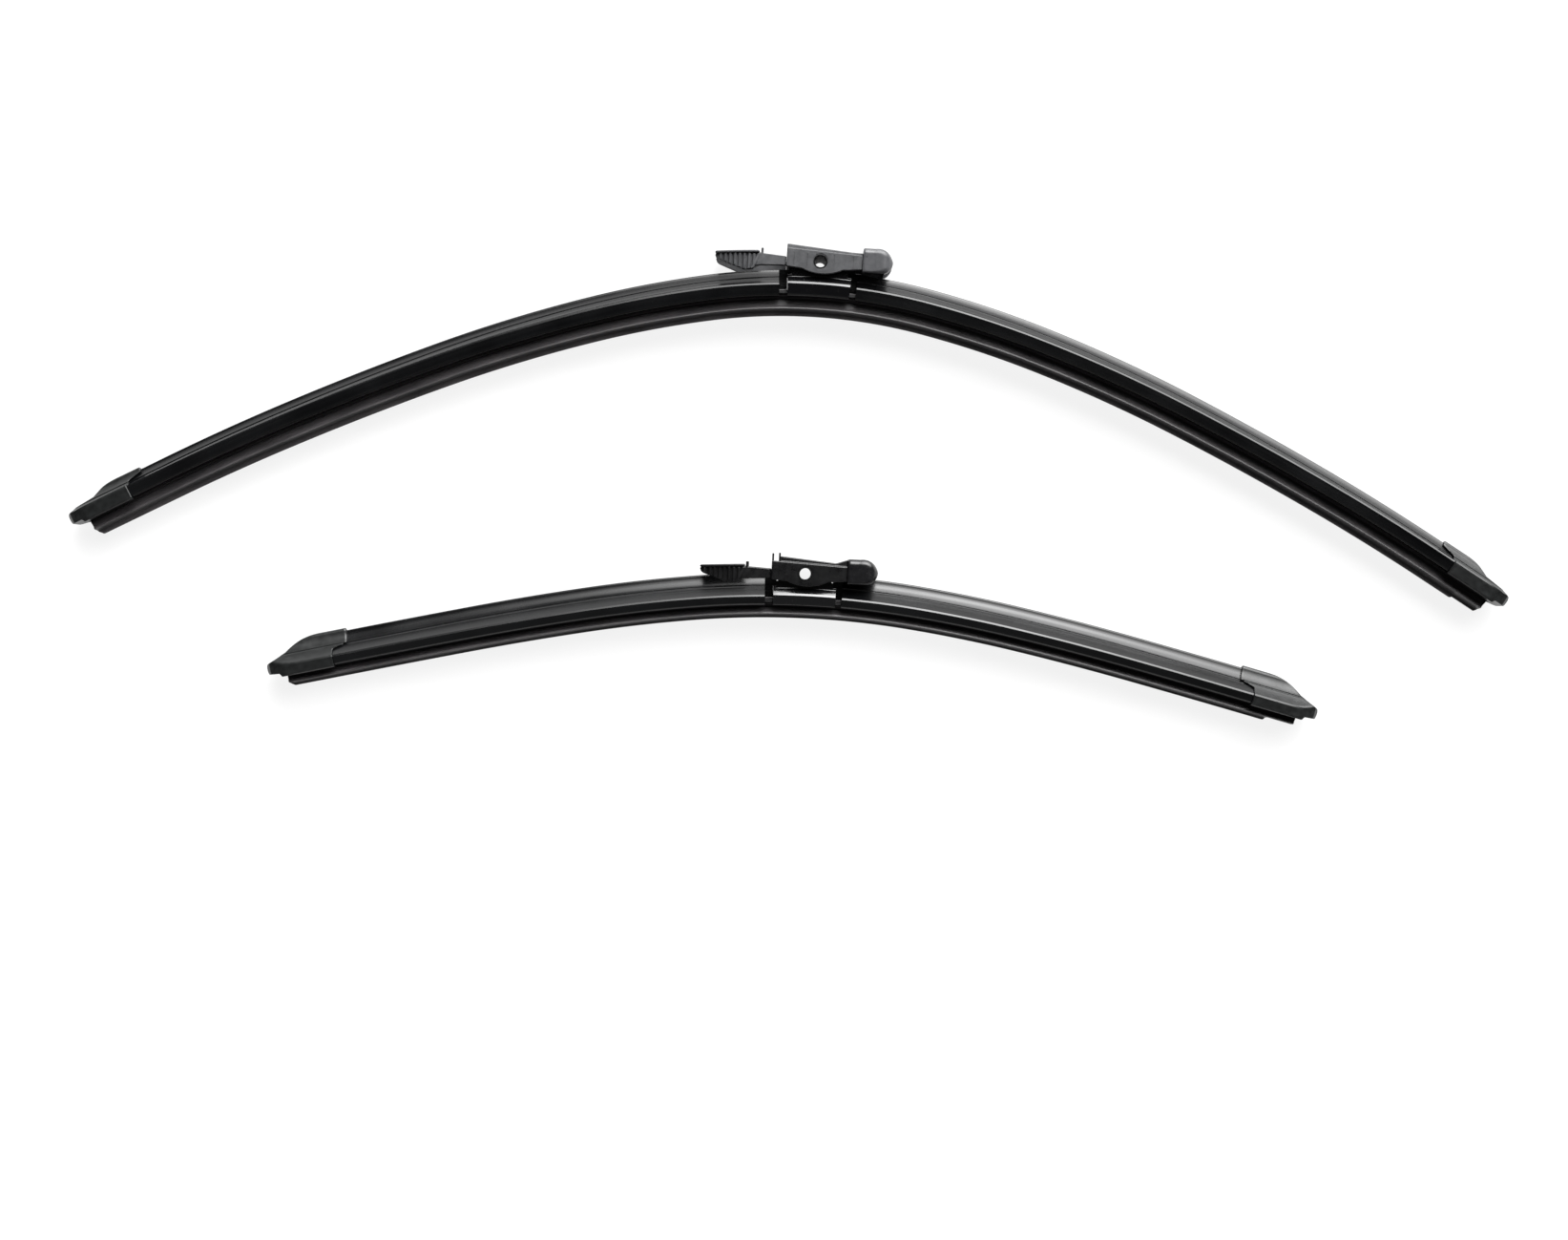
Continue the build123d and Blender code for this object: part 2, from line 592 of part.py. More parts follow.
def make_front_pinch_tab():
    pad_outline = ((TAB_TIP, -0.4), (TAB_TIP + 1.2, -1.4), (-31.8, -5.2), (-28.4, -5.0), (-25.3, 2.4),
                   (TAB_TIP, 1.2))
    leg = tab_layer(TAB_TIP, TAB_ROOT, -TAB_PAD - TAB_LEG, -TAB_PAD,
                    (TAB_TIP, -0.4), (TAB_TIP + 1.2, -1.4), (-31.8, -5.2), (-28.0, -4.9), (-26.0, -3.0),
                    (TAB_ROOT, -2.4), (TAB_ROOT, 1.6), (-24.0, 2.1), (-25.5, 2.4), (TAB_TIP, 1.2))
    pad = tab_layer(TAB_TIP, -25.0, -TAB_PAD, 0, *pad_outline)
    stem = tab_layer(-27.2, TAB_ROOT, -TAB_PAD, -0.3,
                     (-27.2, -3.0), (TAB_ROOT, -2.4), (TAB_ROOT, 1.6), (-24.0, 2.1), (-24.6, 1.8))
    roof = tab_layer(TAB_TIP, -25.6, None, 0.5,
                     (TAB_TIP, 0.9), (-25.6, 2.1), (-25.6, 3.1), (TAB_TIP, 1.9))
    tooth = tab_layer(-24.9, -24.0, -TAB_PAD - TAB_LEG, -0.3,
                      (-24.9, 0), (-24.0, 0), (-24.0, 4.2), (-24.9, 4.4))
    with BuildPart() as tab:
        add(pad)
        # finger grooves between the ribs
        with BuildSketch(Plane.XY):
            for index in range(RIB_COUNT - 1):
                with Locations((-28.8 - RIB_PITCH * index, -2)):
                    Rectangle(RIB_GROOVE, 14)
        extrude(amount=12, mode=Mode.SUBTRACT)
        add(leg)
        add(stem)
        add(roof)
        add(tooth)
    return tab.part


# ---------------------------------------------------------------- end caps
def make_right_end_cap(blade):
    """The cap in its own frame: x outwards from the end of the rubber, y away from the glass."""
    ridge = blade.ridge_end
    top = ridge + CAP_CREST
    hump_start = (CAP_TOP_END, top)
    hump_middle, hump_end = blade.hump
    across = Plane(origin=(CAP_BEAK, 0, 0), x_dir=(0, 0, 1), z_dir=(-1, 0, 0))
    with BuildPart() as cap:
        with BuildSketch(across):
            with BuildLine():
                spoiler_outside(blade, ridge + CAP_CREST - CAP_WALL, CAP_WALL)
                low = CLAW_LOW - CAP_WALL
                edge = CLAW_HALF + CAP_WALL - 0.6
                Line((-edge, low), (edge, low))
            make_face()
        extrude(amount=CAP_BEAK - CAP_BACK)
        with BuildSketch(Plane.XY.offset(-12)):
            with BuildLine():
                jog = blade.skirt + 3.0
                Polyline((CAP_BACK_LOW, CLAW_LOW - CAP_WALL), (CAP_BACK_LOW, jog),
                         (CAP_BACK, jog + 1.6), (CAP_BACK, top), hump_start)
                ThreePointArc(hump_start, hump_middle, hump_end)
                Polyline(hump_end, (2.5, 5.3), (5.9, 3.8))
                ThreePointArc((5.9, 3.8), (CAP_BEAK, 1.8), (6.3, -0.7))
                Polyline((6.3, -0.7), (1.0, -1.1), (0.5, CLAW_LOW - CAP_WALL),
                         (CAP_BACK_LOW, CLAW_LOW - CAP_WALL))
            make_face()
        extrude(amount=24, mode=Mode.INTERSECT)
        with BuildSketch(Plane.XZ.offset(-20)):
            wide = SKIRT_HALF + CAP_WALL + 0.1
            with BuildLine():
                Polyline((CAP_BACK, 0), (CAP_BACK, wide), (-9.0, wide))
                ThreePointArc((-9.0, wide), (1.5, 6.0), (CAP_BEAK, BEAK_HALF))
                Polyline((CAP_BEAK, BEAK_HALF), (CAP_BEAK, 0), (CAP_BACK, 0))
            make_face()
            mirror(about=Plane.XZ)
        extrude(amount=40, mode=Mode.INTERSECT)
        # socket for the spoiler
        with BuildSketch(Plane(origin=(CAP_GRIP + 0.5, 0, 0), x_dir=(0, 0, 1), z_dir=(-1, 0, 0))):
            with BuildLine():
                spoiler_outside(blade, ridge + FIT, 0.14)
                low = CLAW_LOW - 0.14
                edge = CLAW_HALF + 0.14 - 0.6
                Line((-edge, low), (edge, low))
            make_face()
        extrude(amount=40, mode=Mode.SUBTRACT)
        # slots for the rails and the rubber
        with BuildSketch(Plane(origin=(0.1, 0, 0), x_dir=(0, 0, 1), z_dir=(-1, 0, 0))):
            Rectangle(2 * SLOT_OUTER, 2 * SLOT_HALF)
            with Locations((0, -SLOT_HALF)):
                Rectangle(2 * CHANNEL_HALF, 2 * (CHANNEL_TOP + SLOT_HALF))
            with Locations((0, CLAW_LOW - CAP_WALL)):
                Rectangle(2 * HOOK_INNER, -2 * (CLAW_LOW - CAP_WALL))
        extrude(amount=40, mode=Mode.SUBTRACT)
    return cap.part


# ---------------------------------------------------------------- the pair
def blade_pieces(blade):
    """Every piece of one blade, in the blade's own frame."""
    at_pivot = Pos(0, blade.pivot, 0)
    front_tab = make_front_pinch_tab()
    right_cap = make_right_end_cap(blade)
    return {
        "wiping_rubber": make_rubber(blade),
        "front_spring_rail": make_rail(blade, 1),
        "rear_spring_rail": make_rail(blade, -1),
        "left_spoiler": make_spoiler(blade, -1),
        "right_spoiler": make_spoiler(blade, 1),
        "centre_bracket": make_bracket(blade),
        "pivot_rivet": make_rivet().moved(at_pivot),
        "adapter_body": make_adapter_body(blade).moved(at_pivot),
        "nose_cap": make_nose_cap().moved(at_pivot),
        "front_pinch_tab": front_tab.moved(at_pivot),
        "rear_pinch_tab": mirror(front_tab, about=Plane.XY).moved(at_pivot),
        "left_end_cap": mirror(right_cap, about=Plane.YZ).moved(end_place(blade, -1)),
        "right_end_cap": right_cap.moved(end_place(blade, 1)),
    }


def main():
    os.makedirs("parts", exist_ok=True)
    placed = {}
    places = {}
    for blade in (LONG, SHORT):
        pieces = blade_pieces(blade)
        leaning = Pos(*blade.spot, 0) * Rot(Z=blade.tilt) * Rot(X=blade.roll)
        lowest = min(piece.moved(leaning).bounding_box().min.Z for piece in pieces.values())
        places[blade.name] = Pos(0, 0, -lowest) * leaning
        for name, piece in pieces.items():
            placed[f"{blade.name}_{name}"] = piece.moved(places[blade.name])
    boxes = [piece.bounding_box() for piece in placed.values()]
    middle_x = (min(box.min.X for box in boxes) + max(box.max.X for box in boxes)) / 2
    middle_y = (min(box.min.Y for box in boxes) + max(box.max.Y for box in boxes)) / 2
    centring = Pos(-middle_x, -middle_y, 0)
    for label, piece in placed.items():
        centred = piece.moved(centring)
        centred.label = label
        export_step(centred, f"parts/{label}.step")
    print("middle of the pair before centring:", middle_x, middle_y)
    for blade in (LONG, SHORT):
        pivot = centring * places[blade.name] * Pos(0, blade.pivot, 0)
        print(blade.name, "pivot", pivot.position, "turned", pivot.orientation, "roll", blade.roll)


if __name__ == "__main__":
    main()
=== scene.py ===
"""Looks of a pair of beam wiper blades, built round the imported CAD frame.

Shapes are drawn in millimetres.  Pieces along a blade use the blade's own frame: x along it, y away from
the glass, z sideways to its front, with the origin between the spring rails at the middle.  Adapter pieces
use the same directions from the rivet's centre, and end caps use them from the end of the rubber.
"""
import bpy
import bmesh
import json
import math
from dataclasses import dataclass
from mathutils import Matrix, Vector

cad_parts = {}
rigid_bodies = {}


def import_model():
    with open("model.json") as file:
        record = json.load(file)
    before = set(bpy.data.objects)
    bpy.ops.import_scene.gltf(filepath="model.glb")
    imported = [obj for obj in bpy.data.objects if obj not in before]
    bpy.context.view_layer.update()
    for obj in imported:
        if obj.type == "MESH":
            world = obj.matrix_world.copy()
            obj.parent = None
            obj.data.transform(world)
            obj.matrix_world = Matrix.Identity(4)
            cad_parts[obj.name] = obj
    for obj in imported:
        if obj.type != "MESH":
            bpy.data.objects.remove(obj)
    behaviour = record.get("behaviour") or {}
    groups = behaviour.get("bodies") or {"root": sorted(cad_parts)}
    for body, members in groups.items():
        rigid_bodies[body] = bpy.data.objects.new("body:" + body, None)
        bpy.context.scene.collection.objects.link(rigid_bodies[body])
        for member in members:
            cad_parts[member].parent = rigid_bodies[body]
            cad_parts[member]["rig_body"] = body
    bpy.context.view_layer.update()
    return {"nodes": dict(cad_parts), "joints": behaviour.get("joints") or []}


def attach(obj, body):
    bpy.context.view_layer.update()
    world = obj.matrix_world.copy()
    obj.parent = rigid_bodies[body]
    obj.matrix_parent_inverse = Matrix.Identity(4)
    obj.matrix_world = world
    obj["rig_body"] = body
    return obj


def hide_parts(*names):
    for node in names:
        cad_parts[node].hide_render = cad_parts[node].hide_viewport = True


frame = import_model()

MM = 0.001
BOTH_SIDES = (1, -1)

# ---------------- sizes in millimetres, as in the CAD model
FIT = 0.05
SLOT_HALF = 0.5  # rail slots in the spoiler, bracket and rubber
SLOT_OUTER = 5.35
CHANNEL_HALF = 2.9  # the inside of the spoiler, over the rubber's backing
CHANNEL_TOP = 1.8
HOOK_INNER = 3.7
CLAW_LOW = -1.6
CLAW_HALF = 6.6
CLAW_CHAMFER = 0.6
SKIRT_HALF = 7.0
SKIRT_BEVEL = 0.35
HOLLOW_DROP = 5.6  # from the ridge down to the spoiler's hollow
FIN_END = 11.6  # each fin runs on inwards to here, over the bracket's end
FIN_FRONT = -1.0
FIN_PLAY = 0.12
TAIL_OVERLAP = 1.5  # how far the fin's tails reach into the extrusion
RIDGE_SIDE = -1.2
RIDGE_R = 0.7
BRACKET_HALF = 13.0
BRACKET_WALL = 1.2
GAP = {-1: 3.4, 1: 2.6}  # from the bracket to each spoiler
FLANGE_RISE = 0.8  # from the skirt's edge to the bracket's flange
FLANGE_STEP = 2.5
PIVOT_RISE = 8.7  # from the flange to the rivet's centre
EAR_OUTER = 5.2
EAR_R = 4.2
EAR_FOOT_HALF = 11.5
EAR_FOOT_DROP = 3.6
WALL_RISE = 0.6
RIVET_BORE_R = 2.4
RIVET_R = 2.9
COLLAR_R = 3.25
COLLAR_INNER = 5.25
COLLAR_OUTER = 6.35
HOUSING_HALF = 8.5
HOUSING_LEFT = -14.2
HOUSING_RIGHT = 17.7
HOUSING_WALL = 1.5
PLATFORM_HALF = 6.5
FIN_SLOT_HALF = 4.4  # slot in the housing's left wall, over the spoiler's fin
FIN_SLOT_TOP = 2.6
PLATFORM_ROOM_HALF = 5.4
NOSE_HALF = 9.5
NOSE_END = 30.4
NOSE_TOP = 7.0
NOSE_LOW = -3.4
TAB_ROOT = -14.5
TAB_TIP = -44.2
TAB_REACH = 0.2  # how far a tab's root goes past its hinge line
CAP_WALL = 1.0
CAP_CREST = 1.2
CAP_BACK = -28.0
CAP_BACK_LOW = -22.0
CAP_BEAK = 7.2
CAP_SOCKET = -17.0  # the spoiler ends just short of here, inside the cap
CAP_TOP_END = -18.0
CAP_LEAD_END = -17.8  # inboard of here the rings of a cap follow its slanted back edge
CAP_SOLID_FROM = 0.2  # outboard of here a cap is solid
CAP_TIP_FROM = 5.4
CAP_TIP_END = 6.92
LIP_CUT_BACK = 11.0
LIP_STEP = 1.5
RUBBER_BACKING_HALF = 2.6
RUBBER_KEEL_HALF = 3.2
RUBBER_SHOULDER_HALF = 3.4
PLATFORM_LEFT_Y = 7.0
PLATFORM_RIGHT_Y = 5.0
PLATFORM_ROOF = 1.4
RAMP_FOOT = 13.0
FINS = ((-13.8, 1.1), (-11.0, 1.4))  # place and height of the short blade's two fins
GROOVES = (-11.2, -5.7, 5.6, 13.6)  # shallow lines across the housing's sides

# ---------------- fineness of the meshes
MERGE = 0.001  # points nearer than this become one
NEARLY_STRAIGHT = math.radians(176)
CORNER_SHARE = 0.48  # most of a side that one rounded corner may use
SHARP_ANGLE = math.radians(38)
WIDE_STEP = 3.2


@dataclass
class Blade:
    """What differs between the two blades."""
    name: str
    arch: list  # (length, turn) of each tangent arc outwards from the bracket, then straight
    half_length: float
    ridge_mid: float  # height of the ridge at the bracket
    ridge_end: float  # and at the ends
    crease_drop: float  # from the ridge down to the fin's foot
    fin_sag: float  # hollow of the fin's front face
    ledge_sag: float  # hollow of the sloping ledge in front of the fin
    skirt: float
    shoulder: float  # widest place of the rubber
    lip: float
    lip_cut: float  # height trimmed off the lip at the right end
    shift: float  # how far the bracket sits to the right of the middle
    hump: tuple  # two points of a cap's hump
    platform_left: float
    ramp_top: float
    finned: bool
    # material of the adapter body and pinch tabs, painted lighter on the long blade as painted light
    adapter_slot: str
    nose_look: str  # material of the nose cap, painted lighter on the long blade as painted light

    @property
    def flange(self):
        return self.skirt + FLANGE_RISE

    @property
    def pivot(self):
        return self.flange + PIVOT_RISE

    def end(self, side):
        """Station of the rubber's end on one side."""
        return side * self.half_length - self.shift


BLADES = (
    Blade(
        name="long",
        arch=[(46, 11.0), (51, 6.6), (66, 5.8), (71, 3.1), (52, 3.0)], half_length=319.3,
        ridge_mid=10.4, ridge_end=8.8, crease_drop=3.7, fin_sag=0.15, ledge_sag=0.5, skirt=3.2,
        shoulder=-6.2, lip=-9.3, lip_cut=0.8, shift=5.8, hump=((-11.5, 9.1), (-5.8, 6.4)),
        # the long blade's adapter and nose plastics are painted lighter, as painted light
        platform_left=-14.2, ramp_top=4.9, finned=False, adapter_slot="adapter_plastic",
        nose_look="nose_plastic",
    ),
    Blade(
        name="short",
        arch=[(46, 6.9), (46, 4.1), (50, 2.2), (45, 0.43)], half_length=218.0,
        ridge_mid=11.6, ridge_end=11.6, crease_drop=5.3, fin_sag=0.8, ledge_sag=0.2, skirt=2.2,
        shoulder=-5.0, lip=-7.1, lip_cut=1.5, shift=3.3, hump=((-8.4, 11.2), (-1.6, 7.3)),
        platform_left=-10.6, ramp_top=6.6, finned=True, adapter_slot="gloss_adapter_plastic",
        nose_look="gloss_nose_plastic",
    ),
)


# ---------------- outlines
def arc(start, middle, end, steps=8):
    """Points of the arc through three points, both ends included."""
    (ax, ay), (bx, by), (cx, cy) = start, middle, end
    d = 2 * (ax * (by - cy) + bx * (cy - ay) + cx * (ay - by))
    a2, b2, c2 = ax * ax + ay * ay, bx * bx + by * by, cx * cx + cy * cy
    ux = (a2 * (by - cy) + b2 * (cy - ay) + c2 * (ay - by)) / d
    uy = (a2 * (cx - bx) + b2 * (ax - cx) + c2 * (bx - ax)) / d
    first = math.atan2(ay - uy, ax - ux)
    via = (math.atan2(by - uy, bx - ux) - first) % math.tau
    sweep = (math.atan2(cy - uy, cx - ux) - first) % math.tau
    if via > sweep:
        sweep -= math.tau
    radius = math.hypot(ax - ux, ay - uy)
    angles = [first + sweep * i / steps for i in range(steps + 1)]
    return [(ux + radius * math.cos(t), uy + radius * math.sin(t)) for t in angles]


def sagging(start, end, sag, steps):
    """The arc between two points that hangs below their chord's middle by the sag."""
    return arc(start, ((start[0] + end[0]) / 2, (start[1] + end[1]) / 2 - sag), end, steps)


def round_corner(before, here, after, radius, steps):
    """The arc that rounds one corner, or the corner itself where the line hardly turns."""
    here = Vector(here)
    back, ahead = Vector(before) - here, Vector(after) - here
    inside = back.angle(ahead)
    if inside > NEARLY_STRAIGHT:
        return [tuple(here)]
    reach = min(radius / math.tan(inside / 2), CORNER_SHARE * back.length, CORNER_SHARE * ahead.length)
    start = here + back.normalized() * reach
    end = here + ahead.normalized() * reach
    bisector = (back.normalized() + ahead.normalized()).normalized()
    centre = here + bisector * (reach / math.cos(inside / 2))
    middle = centre - bisector * (start - centre).length
    return arc(tuple(start), tuple(middle), tuple(end), steps)


def rounded(corners, closed=True, steps=4):
    """An outline from corners (u, v) or (u, v, radius), with the given radii worked in."""
    count = len(corners)
    points = []
    for i, corner in enumerate(corners):
        inner = closed or 0 < i < count - 1
        if len(corner) == 3 and inner:
            before, after = corners[i - 1][:2], corners[(i + 1) % count][:2]
            points += round_corner(before, corner[:2], after, corner[2], steps)
        else:
            points.append(tuple(corner[:2]))
    return points


def mirrored(half):
    """A closed outline from its right half, which starts and ends on the middle line."""
    return half + [(-u, v) for u, v in reversed(half[1:-1])]


def circle(y, radius, steps=48):
    """A circle whose centre is at x = 0."""
    return [(radius * math.cos(math.tau * i / steps), y + radius * math.sin(math.tau * i / steps))
            for i in range(steps)]


def shrunk(outline, amount):
    """A closed outline moved inwards by a small amount."""
    area = sum(a[0] * b[1] - b[0] * a[1] for a, b in zip(outline, outline[1:] + outline[:1]))
    turn = 1 if area > 0 else -1
    moved = []
    for i, (u, v) in enumerate(outline):
        before, after = Vector(outline[i - 1]), Vector(outline[(i + 1) % len(outline)])
        along = (after - before).normalized()
        moved.append((u - turn * amount * along.y, v + turn * amount * along.x))
    return moved


def between(table, x):
    """Value at x on a broken line of (x, value) points."""
    if x <= table[0][0]:
        return table[0][1]
    for (xa, a), (xb, b) in zip(table, table[1:]):
        if x <= xb:
            return a + (b - a) * (x - xa) / (xb - xa)
    return table[-1][1]


def spread(start, end, step):
    """Evenly spaced values from start to end, at most a step apart."""
    count = max(1, math.ceil(abs(end - start) / step))
    return [start + (end - start) * i / count for i in range(count + 1)]


def soft_min(a, b, blend):
    """The smaller of two numbers, eased where they are nearly equal."""
    return min(a, b) - max(blend - abs(a - b), 0) ** 2 / (4 * blend)


# ---------------- solids
def solid(points, faces):
    """A temporary object with outward normals, in millimetres."""
    mesh = bpy.data.meshes.new("shape")
    mesh.from_pydata([tuple(p) for p in points], [], faces)
    bm = bmesh.new()
    bm.from_mesh(mesh)
    bmesh.ops.recalc_face_normals(bm, faces=bm.faces)
    bm.to_mesh(mesh)
    bm.free()
    shape = bpy.data.objects.new("shape", mesh)
    bpy.context.scene.collection.objects.link(shape)
    return shape


def prism(outline, low, high, plane="xy"):
    """An outline in x and y drawn along z, or one in z and y drawn along x."""
    order = {"xy": lambda u, v, w: (u, v, w), "zy": lambda u, v, w: (w, v, u)}[plane]
    count = len(outline)
    points = [order(u, v, w) for w in (low, high) for u, v in outline]
    sides = [(i, (i + 1) % count, count + (i + 1) % count, count + i) for i in range(count)]
    return solid(points, sides + [list(range(count)), list(range(count, 2 * count))])


def box(left, right, low, high, near, far, plane="xy"):
    """A prism on a rectangle."""
    return prism([(left, low), (right, low), (right, high), (left, high)], near, far, plane)


def depths(side, inner, outer):
    """The two depths of a solid on one side of the middle plane, lowest first."""
    return sorted((side * inner, side * outer))


def loft(rings):
    """A closed solid through rings with equal numbers of points."""
    count = len(rings[0])
    faces = []
    for i in range(len(rings) - 1):
        for j in range(count):
            k = (j + 1) % count
            faces.append((i * count + j, i * count + k, (i + 1) * count + k, (i + 1) * count + j))
    last = (len(rings) - 1) * count
    faces += [list(range(count)), list(range(last, last + count))]
    return solid([p for ring in rings for p in ring], faces)


def lathe(profile, steps=56):
    """A closed profile of (radius, z) points turned about the z axis."""
    count = len(profile)
    points = [(r * math.cos(math.tau * i / steps), r * math.sin(math.tau * i / steps), z)
              for i in range(steps) for r, z in profile]
    faces = [(i * count + j, i * count + (j + 1) % count, (i + 1) % steps * count + (j + 1) % count,
              (i + 1) % steps * count + j) for i in range(steps) for j in range(count)]
    return solid(points, faces)


def clean(shape):
    """Merges points that a boolean or a trimmed outline left on top of each other."""
    bm = bmesh.new()
    bm.from_mesh(shape.data)
    bmesh.ops.remove_doubles(bm, verts=bm.verts, dist=MERGE)
    bmesh.ops.dissolve_degenerate(bm, edges=bm.edges, dist=MERGE)
    bm.to_mesh(shape.data)
    bm.free()
    return shape


def apply_modifiers(shape):
    """Replaces the shape's mesh by what its modifiers make of it."""
    graph = bpy.context.evaluated_depsgraph_get()
    mesh = bpy.data.meshes.new_from_object(shape.evaluated_get(graph))
    shape.modifiers.clear()
    shape.data = mesh
    return shape


def combine(base, operation, *others):
    """Adds other solids to the base, or cuts them from it, and removes them."""
    for other in others:
        step = base.modifiers.new("combine", "BOOLEAN")
        step.operation = operation
        step.solver = "EXACT"
        step.object = other
    bpy.context.view_layer.update()
    apply_modifiers(base)
    for other in others:
        bpy.data.objects.remove(other)
    return base


def join(base, other):
    """Puts another solid into the same piece as it stands."""
    bm = bmesh.new()
    bm.from_mesh(base.data)
    bm.from_mesh(other.data)
    bm.to_mesh(base.data)
    bm.free()
    bpy.data.objects.remove(other)


def soften_edges(shape, width, angle=40, segments=3):
    """Rounds the edges that are sharper than the angle in degrees."""
    bevel = shape.modifiers.new("soften", "BEVEL")
    bevel.width = width
    bevel.segments = segments
    bevel.limit_method = "ANGLE"
    bevel.angle_limit = math.radians(angle)
    bevel.use_clamp_overlap = False
    bpy.context.view_layer.update()
    return apply_modifiers(shape)


# ---------------- the blade's curve
def arch_frame(blade, station):
    """Place on the rails' curve: x, y and heading, at a distance along it from the middle."""
    side = 1 if station >= 0 else -1
    to_go = abs(station)
    x, y, heading = 0.0, 0.0, 0.0
    for length, turn in blade.arch:
        run = min(length, to_go)
        radius = length / math.radians(turn)
        ahead = heading + math.radians(turn) * run / length
        x += radius * (math.sin(ahead) - math.sin(heading))
        y -= radius * (math.cos(heading) - math.cos(ahead))
        heading = ahead
        to_go -= run
    x += to_go * math.cos(heading)
    y -= to_go * math.sin(heading)
    return side * x, y, -side * heading


def on_arch(blade, station, height, sideways):
    """A point of the blade's frame from its place on the straightened blade."""
    x, y, heading = arch_frame(blade, station)
    return (x - height * math.sin(heading), y + height * math.cos(heading), sideways)


def blade_place(blade):
    """The blade's own frame in the CAD frame, from its pivot and its pinch tab's hinge line."""
    joints = {joint["name"]: joint for joint in frame["joints"]}
    pivot = joints[f"{blade.name}_adapter_pivot"]
    front = Vector(pivot["axis"]).normalized()
    up = Vector(joints[f"{blade.name}_rear_tab_pinch"]["axis"])
    up = (up - front * up.dot(front)).normalized()
    turn = Matrix((up.cross(front), up, front)).transposed().to_4x4()
    origin = Vector(pivot["pos_m"]) - up * blade.pivot * MM
    return Matrix.Translation(origin) @ turn @ Matrix.Scale(MM, 4)


def end_place(blade, side):
    """An end cap's frame in the blade's frame: x outwards from the end of the rubber."""
    x, y, heading = arch_frame(blade, blade.end(side))
    outwards = Matrix.Rotation(heading, 4, "Z") @ Matrix.Scale(side, 4, (1, 0, 0))
    return Matrix.Translation((x, y, 0)) @ outwards


# ---------------- finished pieces
def finish_piece(shape, node, material, place, straight=None):
    """Names a solid for the CAD node that it replaces, puts it in the CAD frame and lets it ride."""
    if straight is None:
        clean(shape)
    mesh = shape.data
    shape.name = mesh.name = node + "_fine"
    flat_place = straight or [tuple(v.co) for v in mesh.vertices]
    attribute = mesh.attributes.new("straight", "FLOAT_VECTOR", "POINT")
    attribute.data.foreach_set("vector", [c * MM for p in flat_place for c in p])
    mesh.transform(place)
    if place.determinant() < 0:
        mesh.flip_normals()
    mesh.materials.append(material)
    mesh.shade_smooth()
    mesh.set_sharp_from_angle(angle=SHARP_ANGLE)
    weighted = shape.modifiers.new("weighted normals", "WEIGHTED_NORMAL")
    weighted.keep_sharp = True
    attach(shape, frame["nodes"][node]["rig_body"])
    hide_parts(node)


def swept(blade, outlines, stations, end_shift=None):
    """A solid along the blade through (sideways, height) outlines, and its straightened places."""
    rings, straight = [], []
    for station, outline in zip(stations, outlines):
        ring = []
        for sideways, height in outline:
            at = end_shift(station, height) if end_shift else station
            ring.append(on_arch(blade, at, height, sideways))
            straight.append((at, height, sideways))
        rings.append(ring)
    return loft(rings), straight


# ---------------- wiping rubber
def rubber_outline(blade):
    """The rubber's section: backing, rail grooves, keel, thin hinge, bulging head and lip."""
    wide, shoulder = RUBBER_SHOULDER_HALF, blade.shoulder
    backing, keel, web, hinge = RUBBER_BACKING_HALF, RUBBER_KEEL_HALF, 1.0, 0.55
    top, keel_low = 1.6, -1.4
    neck, waist = (1.3, -2.7), (2.3, shoulder + 0.9)
    flank = arc(neck, (1.6, (shoulder - 1.5) / 2), waist, 10)
    bulge = arc(waist, (3.15, shoulder + 0.2), (wide, shoulder - 0.35), 10)
    half = rounded([
        (0, top), (backing, top, 0.3), (backing, SLOT_HALF, 0.15), (web, SLOT_HALF, 0.15),
        (web, -SLOT_HALF, 0.15), (keel, -SLOT_HALF, 0.2), (keel, keel_low, 0.3), (hinge, keel_low - 0.2, 0.3),
        (hinge, neck[1] + 0.2, 0.3), (*neck, 0.3), *flank[1:-1], *bulge[:-1], (*bulge[-1], 0.15),
        (0.6, shoulder - 1.0, 0.6), (0.35, blade.lip, 0.08), (0, blade.lip),
    ], closed=False)
    return mirrored(half)


def make_rubber(blade):
    """The strip, slanted at both ends, round-cornered on the left and with its lip cut back on the right."""
    outline = rubber_outline(blade)
    start, end = blade.end(-1), blade.end(1)
    # how much is cut off each end, at heights above the lip
    left_cut = [(0, 3.0), (0.15, 2.4), (0.5, 1.75), (1.0, 1.35), (1.8, 1.0), (2.6, 0.8), (6.5, 0.0)]
    right_cut = [(blade.lip_cut, 2.1), (blade.lip_cut + 0.15, 1.75), (blade.lip_cut + 0.5, 1.5), (6.5, 0.0)]
    step_start = end - LIP_CUT_BACK - LIP_STEP
    step = [(0, 0), (0.5, 0.04), (1.0, 0.2), (1.3, 0.5), (LIP_STEP, 1.0)]

    def end_shift(station, height):
        """A station moved so that the first and last rings lie along the slanted cuts."""
        above_lip = height - blade.lip
        first, last = start + between(left_cut, above_lip), end - between(right_cut, above_lip)
        return first + (station - start) * (last - first) / (end - start)

    def trimmed(line, station):
        """A section without what the step near the right end takes off its lip."""
        lowest = blade.lip + blade.lip_cut * between(step, station - step_start)
        keep_apart = 0.02
        return [(u, max(v, lowest + keep_apart * (v - blade.lip))) for u, v in line]

    rim, margin = 0.12, 2
    step_end = step_start + LIP_STEP + 0.1
    stations = [start, start + rim] + spread(start + margin, step_start, WIDE_STEP)
    stations += spread(step_start, step_end, 0.2)[1:] + spread(step_end, end - margin, WIDE_STEP)[1:]
    stations += [end - rim, end]
    outlines = [shrunk(outline, rim)] + [outline] * (len(stations) - 2) + [shrunk(outline, rim)]
    outlines = [trimmed(line, station) for line, station in zip(outlines, stations)]
    return swept(blade, outlines, stations, end_shift)


